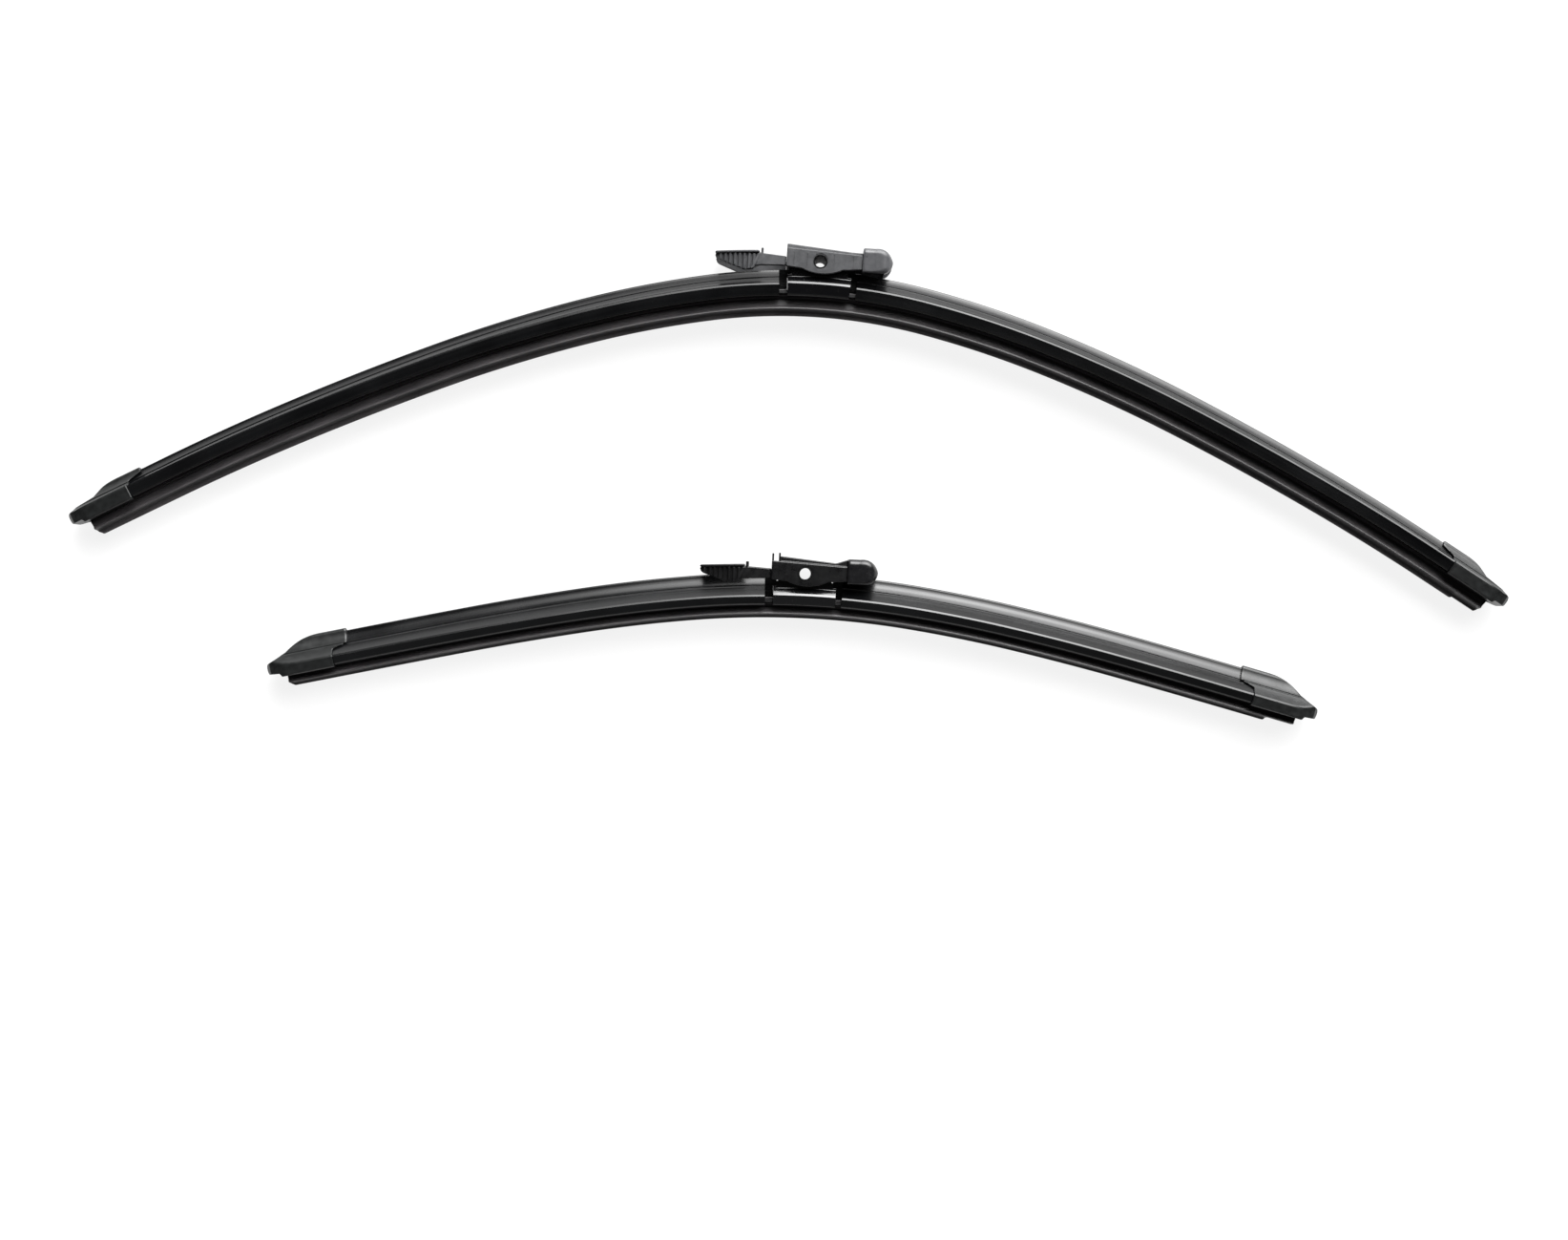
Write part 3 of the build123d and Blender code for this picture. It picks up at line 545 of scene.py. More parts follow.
# ---------------- spoilers
def outside_line(blade, ridge, grow=0.0, steps=10):
    """The spoiler's outer line, from its front hook over the ridge to its rear hook."""
    crease, crease_side = ridge - blade.crease_drop, 1.65 + grow
    low, claw, chamfer = CLAW_LOW - grow, CLAW_HALF + grow, CLAW_CHAMFER
    edge_r, back_edge_r = 0.14, 0.32 + grow / 2
    wide = SKIRT_HALF + grow
    ledge = sagging((wide - SKIRT_BEVEL, blade.skirt + SKIRT_BEVEL), (2.3 + grow, crease - 0.3),
                    blade.ledge_sag, steps)
    fin = sagging((1.75 + grow, crease + 0.4), (RIDGE_SIDE + RIDGE_R + grow, ridge - RIDGE_R),
                  blade.fin_sag, steps)
    bead = arc(fin[-1], (RIDGE_SIDE, ridge + grow), (RIDGE_SIDE - RIDGE_R - grow, ridge - RIDGE_R), steps)
    back = arc(bead[-1], (-3.4 - grow, (ridge + blade.skirt) / 2 + 0.2), (-SKIRT_HALF - grow, blade.skirt),
               2 * steps)
    return rounded([
        (HOOK_INNER, low), (claw - chamfer, low, 0.3), (claw, low + chamfer, 0.3),
        (wide, blade.skirt - SKIRT_BEVEL, edge_r), (*ledge[0], edge_r), *ledge[1:],
        (crease_side, crease, 0.2), *fin, *bead[1:], *back[1:-1], (*back[-1], back_edge_r),
        (-claw, low + chamfer, 0.3), (chamfer - claw, low, 0.3), (-HOOK_INNER, low),
    ], closed=False, steps=3)


def spoiler_outline(blade, ridge):
    """The spoiler's closed section, with its hollow, its rail slots and the opening for the rubber."""
    hollow_top = ridge - HOLLOW_DROP
    right_wall = [(CHANNEL_HALF, CHANNEL_TOP, 0.3), (CHANNEL_HALF, SLOT_HALF, 0.1),
                  (SLOT_OUTER, SLOT_HALF, 0.1), (SLOT_OUTER, -SLOT_HALF, 0.1),
                  (HOOK_INNER, -SLOT_HALF, 0.1), (HOOK_INNER, CLAW_LOW, 0)]
    left_wall = [(-u, v, r) for u, v, r in reversed(right_wall)]
    inside = rounded([*left_wall, (-1.0, hollow_top, 0.5), (0.2, hollow_top, 0.5), *right_wall],
                     closed=False, steps=2)
    return outside_line(blade, ridge) + inside[1:-1]


def fin_outline(blade):
    """What is left of the spoiler's section behind FIN_FRONT and above the bracket."""
    ridge = blade.ridge_mid
    low = blade.flange + FLANGE_STEP + WALL_RISE + FIN_PLAY
    line = [(u, v) for u, v in outside_line(blade, ridge) if u < FIN_FRONT and v > low]
    first, last = line[0], line[-1]
    return [(FIN_FRONT, low), (FIN_FRONT, first[1] + 0.04), *line, (last[0] - 0.02, low)]


def make_spoiler(blade, side):
    """The extrusion, cut square at the bracket, with its fin run on over the bracket's end."""
    near = side * (BRACKET_HALF + GAP[side])
    far = blade.end(side) + side * (CAP_SOCKET - 0.5)
    rim = 0.1
    stations = [near, near + side * rim] + spread(near + side, far - side, 3.0) + [far - side * rim, far]
    fall = (blade.ridge_end - blade.ridge_mid) / (far - near)
    outlines = [spoiler_outline(blade, blade.ridge_mid + fall * (station - near)) for station in stations]
    outlines[0], outlines[-1] = shrunk(outlines[0], rim), shrunk(outlines[-1], rim)
    spoiler, straight = swept(blade, outlines, stations)
    tail_end = near + side * TAIL_OVERLAP
    back_low, back_top = CHANNEL_TOP + 0.2, blade.flange + 4
    back = rounded([(FIN_FRONT, back_low), (FIN_FRONT, back_top), (-3.2, back_top),
                    (-SKIRT_HALF + 0.1, blade.skirt), (-CLAW_HALF, -1.0), (-SLOT_OUTER, -0.6),
                    (-SLOT_OUTER, back_low)])
    for outline, start in ((fin_outline(blade), FIN_END), (back, BRACKET_HALF + 0.1)):
        places = spread(side * start, tail_end, 1.5)
        inside_line = shrunk(outline, 0.02)
        tail, tail_straight = swept(blade, [inside_line] * len(places), places)
        straight += tail_straight
        join(spoiler, tail)
    return spoiler, straight


# ---------------- bracket and rivet
def make_bracket(blade):
    """Bent steel channel with rounded bends and two ears that carry the rivet."""
    ear_top = blade.pivot + EAR_R
    upper_bend = blade.flange + FLANGE_STEP
    ear_inner, floor_top = EAR_OUTER - BRACKET_WALL, CHANNEL_TOP + BRACKET_WALL
    half = rounded([
        (0, CHANNEL_TOP), (CHANNEL_HALF, CHANNEL_TOP, 0.2), (CHANNEL_HALF, SLOT_HALF, 0.2),
        (SLOT_OUTER, SLOT_HALF, 0.2), (SLOT_OUTER, -SLOT_HALF, 0.2), (HOOK_INNER, -SLOT_HALF, 0.1),
        (HOOK_INNER, CLAW_LOW, 0.3), (CLAW_HALF - 0.5, CLAW_LOW, 0.5),
        (CLAW_HALF, CLAW_LOW + CLAW_CHAMFER, 0.4),
        (SKIRT_HALF + 0.1, blade.flange - 0.6, 0.6), (SKIRT_HALF - 0.35, blade.flange + 0.3, 0.6),
        (EAR_OUTER, upper_bend, 0.9), (EAR_OUTER, ear_top), (ear_inner, ear_top),
        (ear_inner, floor_top, 0.8), (0, floor_top),
    ], closed=False)
    outline = mirrored(half)
    stations = spread(-BRACKET_HALF, BRACKET_HALF, 2.2)
    bracket, _ = swept(blade, [outline] * len(stations), stations)
    flat_top = upper_bend + WALL_RISE
    wide, below, past = BRACKET_HALF + 1, -5, 10
    head = arc((EAR_R, blade.pivot), (0, ear_top), (-EAR_R, blade.pivot), 16)
    ear_foot = blade.pivot - EAR_FOOT_DROP
    foot_low, foot_high = EAR_FOOT_HALF + 0.35, EAR_FOOT_HALF + 0.55
    silhouette = rounded([
        (-wide, below), (wide, below), (wide, flat_top), (foot_low, flat_top, 0.2),
        (foot_high, ear_foot, 0.3), *head, (-foot_high, ear_foot, 0.3),
        (-foot_low, flat_top, 0.2), (-wide, flat_top),
    ])
    combine(bracket, "INTERSECT", prism(silhouette, -past, past))
    combine(bracket, "DIFFERENCE", prism(circle(blade.pivot, RIVET_R + FIT), -past, past))
    return soften_edges(clean(bracket), 0.14, angle=50, segments=2)


def make_rivet():
    """Hollow rivet with rounded rims and a collar outside each ear."""
    rim_foot = HOUSING_HALF - 0.5
    rim = rounded([(RIVET_BORE_R, rim_foot), (RIVET_BORE_R, HOUSING_HALF, 0.22),
                   (RIVET_R, HOUSING_HALF, 0.22), (RIVET_R, rim_foot)], closed=False)
    collar = rounded([(RIVET_R, COLLAR_OUTER), (COLLAR_R, COLLAR_OUTER, 0.2), (COLLAR_R, COLLAR_INNER, 0.1),
                      (RIVET_R, COLLAR_INNER)], closed=False)
    front = rim + collar
    return lathe(front + [(r, -z) for r, z in reversed(front)])


# ---------------- adapter
def platform_corners(blade, left, right, drop, easing):
    """Side view of the adapter's platform, or of the room under it."""
    top_line = [(left, PLATFORM_LEFT_Y - drop), (RAMP_FOOT, PLATFORM_RIGHT_Y - drop, easing),
                (HOUSING_RIGHT, blade.ramp_top - drop)]
    if right > HOUSING_RIGHT:
        top_line.append((right, blade.ramp_top - drop))
    return rounded([(left, 0), *top_line, (right, 0)])


def make_adapter_body(blade):
    """Open-bottomed housing with a raised platform up to the nose cap."""
    shoulder_left, shoulder_right = 5.0, 3.6
    below = -8  # past the open underside
    belly = arc((9.5, -3.2), (1.6, -5.2), (-7.5, -3.4), 12)
    housing = prism(rounded([
        *belly[:-1], (*belly[-1], 1.0), (HOUSING_LEFT, -2.8, 0.8), (HOUSING_LEFT, shoulder_left),
        (HOUSING_RIGHT, shoulder_right), (HOUSING_RIGHT, -2.4),
    ]), -HOUSING_HALF, HOUSING_HALF)
    platform = prism(platform_corners(blade, blade.platform_left, HOUSING_RIGHT, 0, 3.0),
                     -PLATFORM_HALF, PLATFORM_HALF)
    inside = HOUSING_HALF - HOUSING_WALL
    room_left, room_right = HOUSING_LEFT + HOUSING_WALL, HOUSING_RIGHT + 1
    hollow = prism([(room_left, below), (room_left, 4.05), (room_right, 2.6), (room_right, below)],
                   -inside, inside)
    ceiling = prism(platform_corners(blade, room_left, room_right, PLATFORM_ROOF, 0.5),
                    -PLATFORM_ROOM_HALF, PLATFORM_ROOM_HALF)
    fin_slot = box(-FIN_SLOT_HALF, FIN_SLOT_HALF, below - 1, FIN_SLOT_TOP, HOUSING_LEFT - 1, HOUSING_LEFT + 2,
                   "zy")
    combine(housing, "UNION", platform)
    combine(housing, "DIFFERENCE", hollow, ceiling, fin_slot)
    soften_edges(clean(housing), 0.42)
    past = HOUSING_HALF + 1
    grooves = [box(x - 0.2, x + 0.2, -2.3, 3.0, *depths(side, HOUSING_HALF - 0.22, past))
               for side in BOTH_SIDES for x in GROOVES]
    bearing = prism(circle(0, RIVET_R + 0.06), -past, past)
    rebates = [prism(circle(0, RIVET_R + 0.5), *depths(side, HOUSING_HALF - 0.25, 12)) for side in BOTH_SIDES]
    combine(housing, "DIFFERENCE", bearing, *rebates, *grooves)
    if blade.finned:
        for x, rise in FINS:
            left, right, low, high = x - 0.4, x + 0.4, 4.2, PLATFORM_LEFT_Y + rise
            fin = prism(rounded([(left, low), (right, low), (right, high, 0.3), (left, high, 0.3)]), -2, 2)
            combine(housing, "UNION", soften_edges(fin, 0.15, segments=2))
    return housing


def make_nose_cap():
    """Rounded cap at the adapter's nose, hollow and open below."""
    mouth_x, rim = HOUSING_RIGHT, 0.35
    tip_y, tip_half = 1.8, 5.6
    crown = arc((23.0, NOSE_TOP), (28.6, 5.2), (NOSE_END, tip_y), 90)
    chin = arc((25.0, NOSE_LOW), (29.2, -1.6), (NOSE_END, tip_y), 90)
    cheek = arc((22.5, NOSE_HALF), (29.0, 8.0), (NOSE_END, tip_half), 90)
    top_line = [(mouth_x, NOSE_TOP - 0.3), (mouth_x + rim, NOSE_TOP)] + crown
    low_line = [(mouth_x, NOSE_LOW)] + chin
    side_line = [(mouth_x, NOSE_HALF - 0.25), (mouth_x + rim, NOSE_HALF)] + cheek
    length, steps = NOSE_END - mouth_x, 36
    stations = [mouth_x + length * math.sin(math.pi / 2 * i / steps) for i in range(steps)]
    stations.append(NOSE_END - 0.004)
    rings = []
    for x in stations:
        top, low = between(top_line, x), between(low_line, x)
        half = soft_min(between(side_line, x), NOSE_HALF, 0.3)
        most = 0.49 * max(top - low, 0.05)
        top_r = min(2.6, most)
        low_r = min(0.8 + 0.25 * max(0, x - 22), most)
        corners = [(half, low, low_r), (half, top, top_r), (-half, top, top_r), (-half, low, low_r)]
        rings.append([(x, v, u) for u, v in rounded(corners, steps=8)])
    cap = loft(rings)
    below, wall = -9, 1.5
    hollow = prism(rounded([(mouth_x + 1, below), (mouth_x + 1, 5.0), (24.5, 5.0, 1.5), (27.4, 1.5, 1.5),
                            (26.4, below)]), wall - NOSE_HALF, NOSE_HALF - wall)
    mouth_half, mouth_top = 5.2, 4.6
    mouth = box(-mouth_half, mouth_half, below, mouth_top, mouth_x - 1, mouth_x + 1.5, "zy")
    arch = arc((FIN_SLOT_HALF, -0.8), (0, 3.6), (-FIN_SLOT_HALF, -0.8), 16)
    ridge_slot = prism(arch + [(-FIN_SLOT_HALF, below), (FIN_SLOT_HALF, below)], mouth_x + 2, NOSE_END + 2,
                       "zy")
    combine(cap, "DIFFERENCE", hollow, mouth, ridge_slot)
    tongues = []
    left, right, half_height = 15.2, 18.9, 1.7
    for side in BOTH_SIDES:
        tongue = prism(rounded([(left, -half_height, 0.5), (right, -half_height), (right, half_height),
                                (left, half_height, 0.5)]), *depths(side, 5.85, 6.95))
        tongues.append(soften_edges(tongue, 0.15, segments=2))
    return combine(cap, "UNION", *tongues)


def make_front_tab():
    """Pinch tab: a bowed leg with finger ribs, a roof plate, a tooth and a stem into the housing."""
    bow = arc((TAB_ROOT, 7.6), (-28.0, 8.4), (TAB_TIP, 6.4), 24)[::-1]
    under = rounded([
        (TAB_TIP, 0.2), (TAB_TIP + 0.1, -0.5, 0.5), (TAB_TIP + 1.4, -1.5, 0.8), (-31.8, -5.2, 1.5),
        (-28.3, -4.9, 1.2), (-26.2, -3.1, 1.0), (TAB_ROOT, -2.4),
    ], closed=False)
    over = [(TAB_TIP, 0.6), (TAB_TIP + 0.5, 1.15), (-25.5, 2.35), (-24.2, 2.1), (TAB_ROOT, 1.6)]
    root = TAB_ROOT + TAB_REACH

    def bar(start, end, inner, outer, low, high, radius, step=0.5):
        """A bowed bar with a rounded-off section, between two offsets from the bow line."""
        rings = []
        stations = spread(start, end, step)
        for x in stations:
            z = between(bow, x)
            inside = inner(z) if callable(inner) else z + inner
            ease = 0.25 if x in (stations[0], stations[-1]) else 0.0
            outside, bottom, top = z + outer - ease, low(x) + ease, high(x) - ease
            corners = [(inside, bottom, radius), (outside, bottom, radius), (outside, top, radius),
                       (inside, top, radius)]
            rings.append([(x, v, u) for u, v in rounded(corners, steps=3)])
        return loft(rings)

    def underside(x):
        return between(under, x) + 0.15

    roof_slope, plate, rib_top = 0.065, 1.0, 1.6
    leg = bar(TAB_TIP, root, -2.4, -0.9, lambda x: between(under, x), lambda x: between(over, x), 0.3)
    stem = bar(-27.0, root, -1.3, -0.35, underside, lambda x: min(between(over, x), 2.0) - 0.15, 0.25)
    roof = bar(TAB_TIP + 0.1, -25.6, lambda z: 2.4, 0.45, lambda x: 0.95 + (x - TAB_TIP) * roof_slope,
               lambda x: 0.95 + plate + (x - TAB_TIP) * (roof_slope - 0.003), 0.35)
    tooth = bar(-24.95, -24.0, -2.4, -0.3, lambda x: 0.0, lambda x: 4.25, 0.2, step=0.4)
    ribs = []
    rib_half, rib_spacing = 0.55, 2.0
    for index in range(8):
        x = -27.6 - rib_spacing * index - 0.2
        ribs.append(bar(x - rib_half, x + rib_half, -1.3, -0.02, underside, lambda x: rib_top, 0.3, 0.28))
    tip_pad = bar(TAB_TIP + 0.05, TAB_TIP + 1.0, -1.3, -0.02, lambda x: between(under, x) + 0.1,
                  lambda x: 1.4, 0.25, step=0.3)
    low, bend, high = (-28.4, -4.8), (-27.6, -3.2), (-25.6, 1.6)
    heel = prism(rounded([(*low, 0.4), (bend[0] + 0.5, bend[1], 0.3), (high[0] + 0.3, high[1]),
                          (high[0] - 0.7, high[1]), (low[0] - 0.9, low[1] + 0.3)]), 6.9, 8.35)
    return combine(leg, "UNION", stem, roof, tooth, tip_pad, soften_edges(heel, 0.2, segments=2), *ribs)


# ---------------- end caps
def cap_limits(blade):
    """Outlines that trim an end cap, as functions of x: its top, its underside and its half width."""
    top = blade.ridge_end + CAP_CREST
    tip_y, over_tip, under_tip = 1.8, 5.9, 6.0
    over_rise, over_length, under_drop, under_length = 2.0, 1.04, 2.5, 0.94
    hump = arc((CAP_TOP_END, top), *blade.hump, 40)
    brow = [(CAP_BACK, top)] + hump + [(2.5, 5.3), (over_tip, tip_y + over_rise)]
    chin = [(0.3, CLAW_LOW - CAP_WALL), (1.1, -1.1), (under_tip, tip_y - under_drop)]
    wide = SKIRT_HALF + CAP_WALL
    sides = [(CAP_BACK, wide)] + arc((-9.0, wide), (1.5, 6.0), (CAP_BEAK, 3.0), 60)

    def quarter(x, start, length):
        return math.sqrt(max(0, 1 - ((x - start) / length) ** 2))

    def above(x):
        if x < over_tip:
            return between(brow, x)
        return tip_y + over_rise * quarter(x, over_tip, over_length)

    def below(x):
        if x < under_tip:
            return between(chin, x)
        return tip_y - under_drop * quarter(x, under_tip, under_length)

    def half_width(x):
        narrowing = 1 - 0.3 * max(0, x - CAP_TIP_FROM) / 1.8
        return min(between(sides, x), wide) * narrowing

    return above, below, half_width


def make_end_cap(blade):
    """A shell over the end of the spoiler, with its humped top running out into a solid beak."""
    above, below, half_width = cap_limits(blade)
    ridge = blade.ridge_end
    outer = outside_line(blade, ridge + CAP_CREST - CAP_WALL, CAP_WALL, steps=20)
    inner = outside_line(blade, ridge + FIT, 0.14, steps=20)
    longest_side = 0.7
    parts = [max(1, math.ceil(math.dist(a, b) / longest_side)) for a, b in zip(outer, outer[1:])]

    def divided(line):
        """The line with its long sides divided, as often as the outer line's."""
        points = [line[0]]
        for a, b, count in zip(line, line[1:], parts):
            points += [(a[0] + (b[0] - a[0]) * i / count, a[1] + (b[1] - a[1]) * i / count)
                       for i in range(1, count + 1)]
        return points

    outer, inner = divided(outer), divided(inner)
    jog, jog_height = blade.skirt + 2.6, 2.4

    def back_edge(height):
        """The inboard edge: the claws start further out than the hood, with an S between them."""
        share = min(1, max(0, (height - jog) / jog_height))
        return CAP_BACK_LOW + (CAP_BACK - CAP_BACK_LOW) * share * share * (3 - 2 * share)

    def trimmed(x, sideways, height, wall):
        """A point of the section, held inside the three trimming outlines."""
        height = soft_min(height, above(x) - wall, 0.6)
        height = -soft_min(-height, -below(x) - (wall - 0.05 if wall else 0), 0.25)
        reach = min(soft_min(abs(sideways), half_width(x) + 0.3 - wall, 0.9), SKIRT_HALF + CAP_WALL)
        return (x, height, math.copysign(reach, sideways))

    rim, lead, tip_steps = 0.22, 14, 14
    common = spread(CAP_LEAD_END, CAP_TIP_FROM, 0.45)[1:]
    tip = [CAP_TIP_FROM + (CAP_TIP_END - CAP_TIP_FROM) * math.sin(math.pi / 2 * i / tip_steps)
           for i in range(1, tip_steps + 1)]
    wall_at = min(range(len(common)), key=lambda i: abs(common[i] - CAP_SOLID_FROM))
    count = len(outer)
    points = []
    starts = [back_edge(height) for sideways, height in outer]

    def row(line, place_of, wall, inset=0.0):
        """One ring of the shell, appended to the points."""
        first = len(points)
        for j, (sideways, height) in enumerate(line):
            point = trimmed(place_of(j), sideways, height, wall)
            if inset:
                point = (point[0], point[1] * (1 - inset / 10), point[2] * (1 - inset / 8))
            points.append(point)
        return first

    def led_from(start, share):
        return start + (CAP_LEAD_END - start) * share

    outer_rows = [row(outer, lambda j: starts[j], 0, inset=0.2), row(outer, lambda j: starts[j] + rim, 0)]
    outer_rows += [row(outer, lambda j: led_from(starts[j] + rim, i / lead), 0) for i in range(1, lead + 1)]
    outer_rows += [row(outer, lambda j: x, 0) for x in common + tip]
    inner_rows = [row(inner, lambda j: starts[j] + FIT, 0)]
    inner_rows += [row(inner, lambda j: led_from(starts[j], i / lead), 0) for i in range(1, lead + 1)]
    inner_rows += [row(inner, lambda j: x, 0.9 if x > CAP_SOCKET else 0) for x in common[:wall_at + 1]]
    closed_from = 2 + lead + wall_at
    faces = []
    for rows in (outer_rows, inner_rows, outer_rows[:1] + inner_rows[:1]):
        for a, b in zip(rows, rows[1:]):
            faces += [(a + j, a + j + 1, b + j + 1, b + j) for j in range(count - 1)]
    shell_out, shell_in = outer_rows[:closed_from + 1], inner_rows[:1] + inner_rows
    for edge in (0, count - 1):
        for (a, b), (c, d) in zip(zip(shell_out, shell_out[1:]), zip(shell_in, shell_in[1:])):
            faces.append(tuple(dict.fromkeys((a + edge, b + edge, d + edge, c + edge))))
    last_in, wall_out = inner_rows[-1], outer_rows[closed_from]
    faces.append([last_in + j for j in range(count)] + [wall_out + count - 1, wall_out])
    for a, b in zip(outer_rows[closed_from:], outer_rows[closed_from + 1:]):
        faces.append((a, a + count - 1, b + count - 1, b))
    faces.append([outer_rows[-1] + j for j in range(count)])
    return solid(points, faces)


# ---------------- materials
def feed(tree, socket, value):
    """Sets an input to a number or a colour, or links it to another node's output."""
    if isinstance(value, (int, float)):
        socket.default_value = value
    elif isinstance(value, tuple):
        socket.default_value = (*value, 1)
    else:
        tree.links.new(value, socket)


def math_node(tree, operation, a, b):
    node = tree.nodes.new("ShaderNodeMath")
    node.operation = operation
    for socket, value in zip(node.inputs, (a, b)):
        feed(tree, socket, value)
    return node.outputs[0]


def range_node(tree, value, low, high, to_low, to_high, interpolation="LINEAR"):
    node = tree.nodes.new("ShaderNodeMapRange")
    node.interpolation_type = interpolation
    for name, number in (("From Min", low), ("From Max", high), ("To Min", to_low), ("To Max", to_high)):
        node.inputs[name].default_value = number
    feed(tree, node.inputs["Value"], value)
    return node.outputs["Result"]


class Nodes:
    """A short hand for building one material's node tree."""

    def __init__(self, name, colour, roughness, ior=1.5):
        self.material = bpy.data.materials.new(name)
        self.material.use_nodes = True
        self.tree = self.material.node_tree
        self.shader = self.tree.nodes["Principled BSDF"]
        self.set("Base Color", colour)
        self.set("Roughness", roughness)
        self.set("IOR", ior)
        place = self.tree.nodes.new("ShaderNodeAttribute")
        place.attribute_name = "straight"
        self.place = place.outputs["Vector"]

    def noise(self, scale, detail=3.0, stretch=(1, 1, 1), source=None):
        """Noise over the piece's own straightened place, with a scale for each direction."""
        multiply = self.tree.nodes.new("ShaderNodeVectorMath")
        multiply.operation = "MULTIPLY"
        multiply.inputs[1].default_value = stretch
        feed(self.tree, multiply.inputs[0], source or self.place)
        texture = self.tree.nodes.new("ShaderNodeTexNoise")
        texture.inputs["Scale"].default_value = scale
        texture.inputs["Detail"].default_value = detail
        feed(self.tree, texture.inputs["Vector"], multiply.outputs[0])
        return texture.outputs["Fac"]

    def mapped(self, value, low, high, to_low=0, to_high=1):
        return range_node(self.tree, value, low, high, to_low, to_high)

    def swing(self, value, low, high):
        """The middle of a noise's range spread from low to high."""
        return self.mapped(value, 0.3, 0.7, low, high)

    def sum(self, a, b):
        return math_node(self.tree, "ADD", a, b)

    def mix_colour(self, factor, a, b):
        mix = self.tree.nodes.new("ShaderNodeMix")
        mix.data_type = "RGBA"
        feed(self.tree, mix.inputs["Factor"], factor)
        feed(self.tree, mix.inputs[6], a)
        feed(self.tree, mix.inputs[7], b)
        return mix.outputs[2]

    def bump(self, height, distance, normal=None):
        node = self.tree.nodes.new("ShaderNodeBump")
        node.inputs["Distance"].default_value = distance
        node.inputs["Strength"].default_value = 1.0
        feed(self.tree, node.inputs["Height"], height)
        if normal is not None:
            feed(self.tree, node.inputs["Normal"], normal)
        return node.outputs["Normal"]

    def set(self, name, value):
        feed(self.tree, self.shader.inputs[name], value)


def extruded_plastic(name, colour, roughness, tint, line_depth):
    """Extrusion with faint die lines along the blade, cloudy gloss and a little dust."""
    m = Nodes(name, colour, roughness)
    lines = m.noise(1.0, 2.0, (9, 2600, 2600))
    broad = m.noise(1.0, 2.0, (5, 420, 420))
    cloud = m.noise(38, 4.0)
    dust = m.mapped(m.noise(2400, 2.0), 0.71, 0.8, 0, 0.4)
    body = m.mix_colour(m.mapped(cloud, 0.35, 0.65), colour, tint)
    m.set("Base Color", m.mix_colour(dust, body, tuple(c + 0.02 for c in tint)))
    gloss = m.sum(m.swing(broad, -0.05, 0.05), m.swing(cloud, -0.03, 0.04))
    m.set("Roughness", m.sum(gloss, m.mapped(dust, 0, 0.5, roughness, roughness + 0.15)))
    ridges = m.bump(lines, line_depth)
    m.set("Normal", m.bump(m.noise(5200, 2.0), 0.000004, normal=ridges))
    return m.material


def moulded_plastic(name, colour, roughness, tint, grain_depth, grain):
    """Moulding with a fine spark-eroded grain, a mottled tone and scuffs that change its gloss."""
    m = Nodes(name, colour, roughness)
    mottle = m.noise(420, 5.0)
    broad = m.noise(70, 3.0)
    scuff = m.mapped(m.noise(1.0, 4.0, (150, 900, 900)), 0.6, 0.75)
    body = m.mix_colour(m.mapped(mottle, 0.35, 0.68), colour, tint)
    scuffed = tuple(1.7 * c + 0.004 for c in tint)
    m.set("Base Color", m.mix_colour(m.mapped(scuff, 0, 1, 0, 0.25), body, scuffed))
    gloss = m.sum(m.swing(broad, -0.05, 0.05), m.mapped(scuff, 0, 1, 0, 0.07))
    m.set("Roughness", m.sum(gloss, m.swing(mottle, roughness - 0.04, roughness + 0.04)))
    coarse = m.bump(m.noise(grain, 4.0), grain_depth)
    m.set("Normal", m.bump(m.noise(90, 2.0), 0.00001, normal=coarse))
    return m.material


def coated_rubber(name, colour, tint):
    """Matte rubber with extrusion lines and a patchy graphite bloom."""
    m = Nodes(name, colour, 0.4)
    lines = m.noise(1.0, 3.0, (14, 3000, 3000))
    bloom = m.noise(1.0, 4.0, (60, 320, 320))
    speck = m.mapped(m.noise(3400, 2.0), 0.66, 0.76, 0, 0.6)
    body = m.mix_colour(m.mapped(bloom, 0.35, 0.7), colour, tint)
    m.set("Base Color", m.mix_colour(speck, body, tuple(c + 0.03 for c in tint)))
    m.set("Roughness", m.sum(m.swing(bloom, 0.34, 0.46), m.swing(lines, -0.04, 0.04)))
    fine = m.bump(lines, 0.00001)
    m.set("Normal", m.bump(m.noise(4200, 3.0), 0.000006, normal=fine))
    return m.material


def painted_steel(name, colour, roughness, peel, coat=0.35, specular=0.5):
    """Black coat on steel, with orange peel and thin scratches in its gloss."""
    m = Nodes(name, colour, roughness, 1.55)
    m.set("Coat Weight", coat)
    m.set("Coat Roughness", 0.08)
    m.set("Specular IOR Level", specular)
    waves = m.noise(650, 2.0)
    scratch = m.mapped(m.noise(1.0, 5.0, (3000, 160, 900)), 0.66, 0.72)
    m.set("Base Color", m.mix_colour(scratch, colour, tuple(c + 0.03 for c in colour)))
    m.set("Roughness", m.sum(m.swing(waves, roughness - 0.03, roughness + 0.03),
                              m.mapped(scratch, 0, 1, 0, 0.12)))
    m.set("Normal", m.bump(waves, peel))
    return m.material


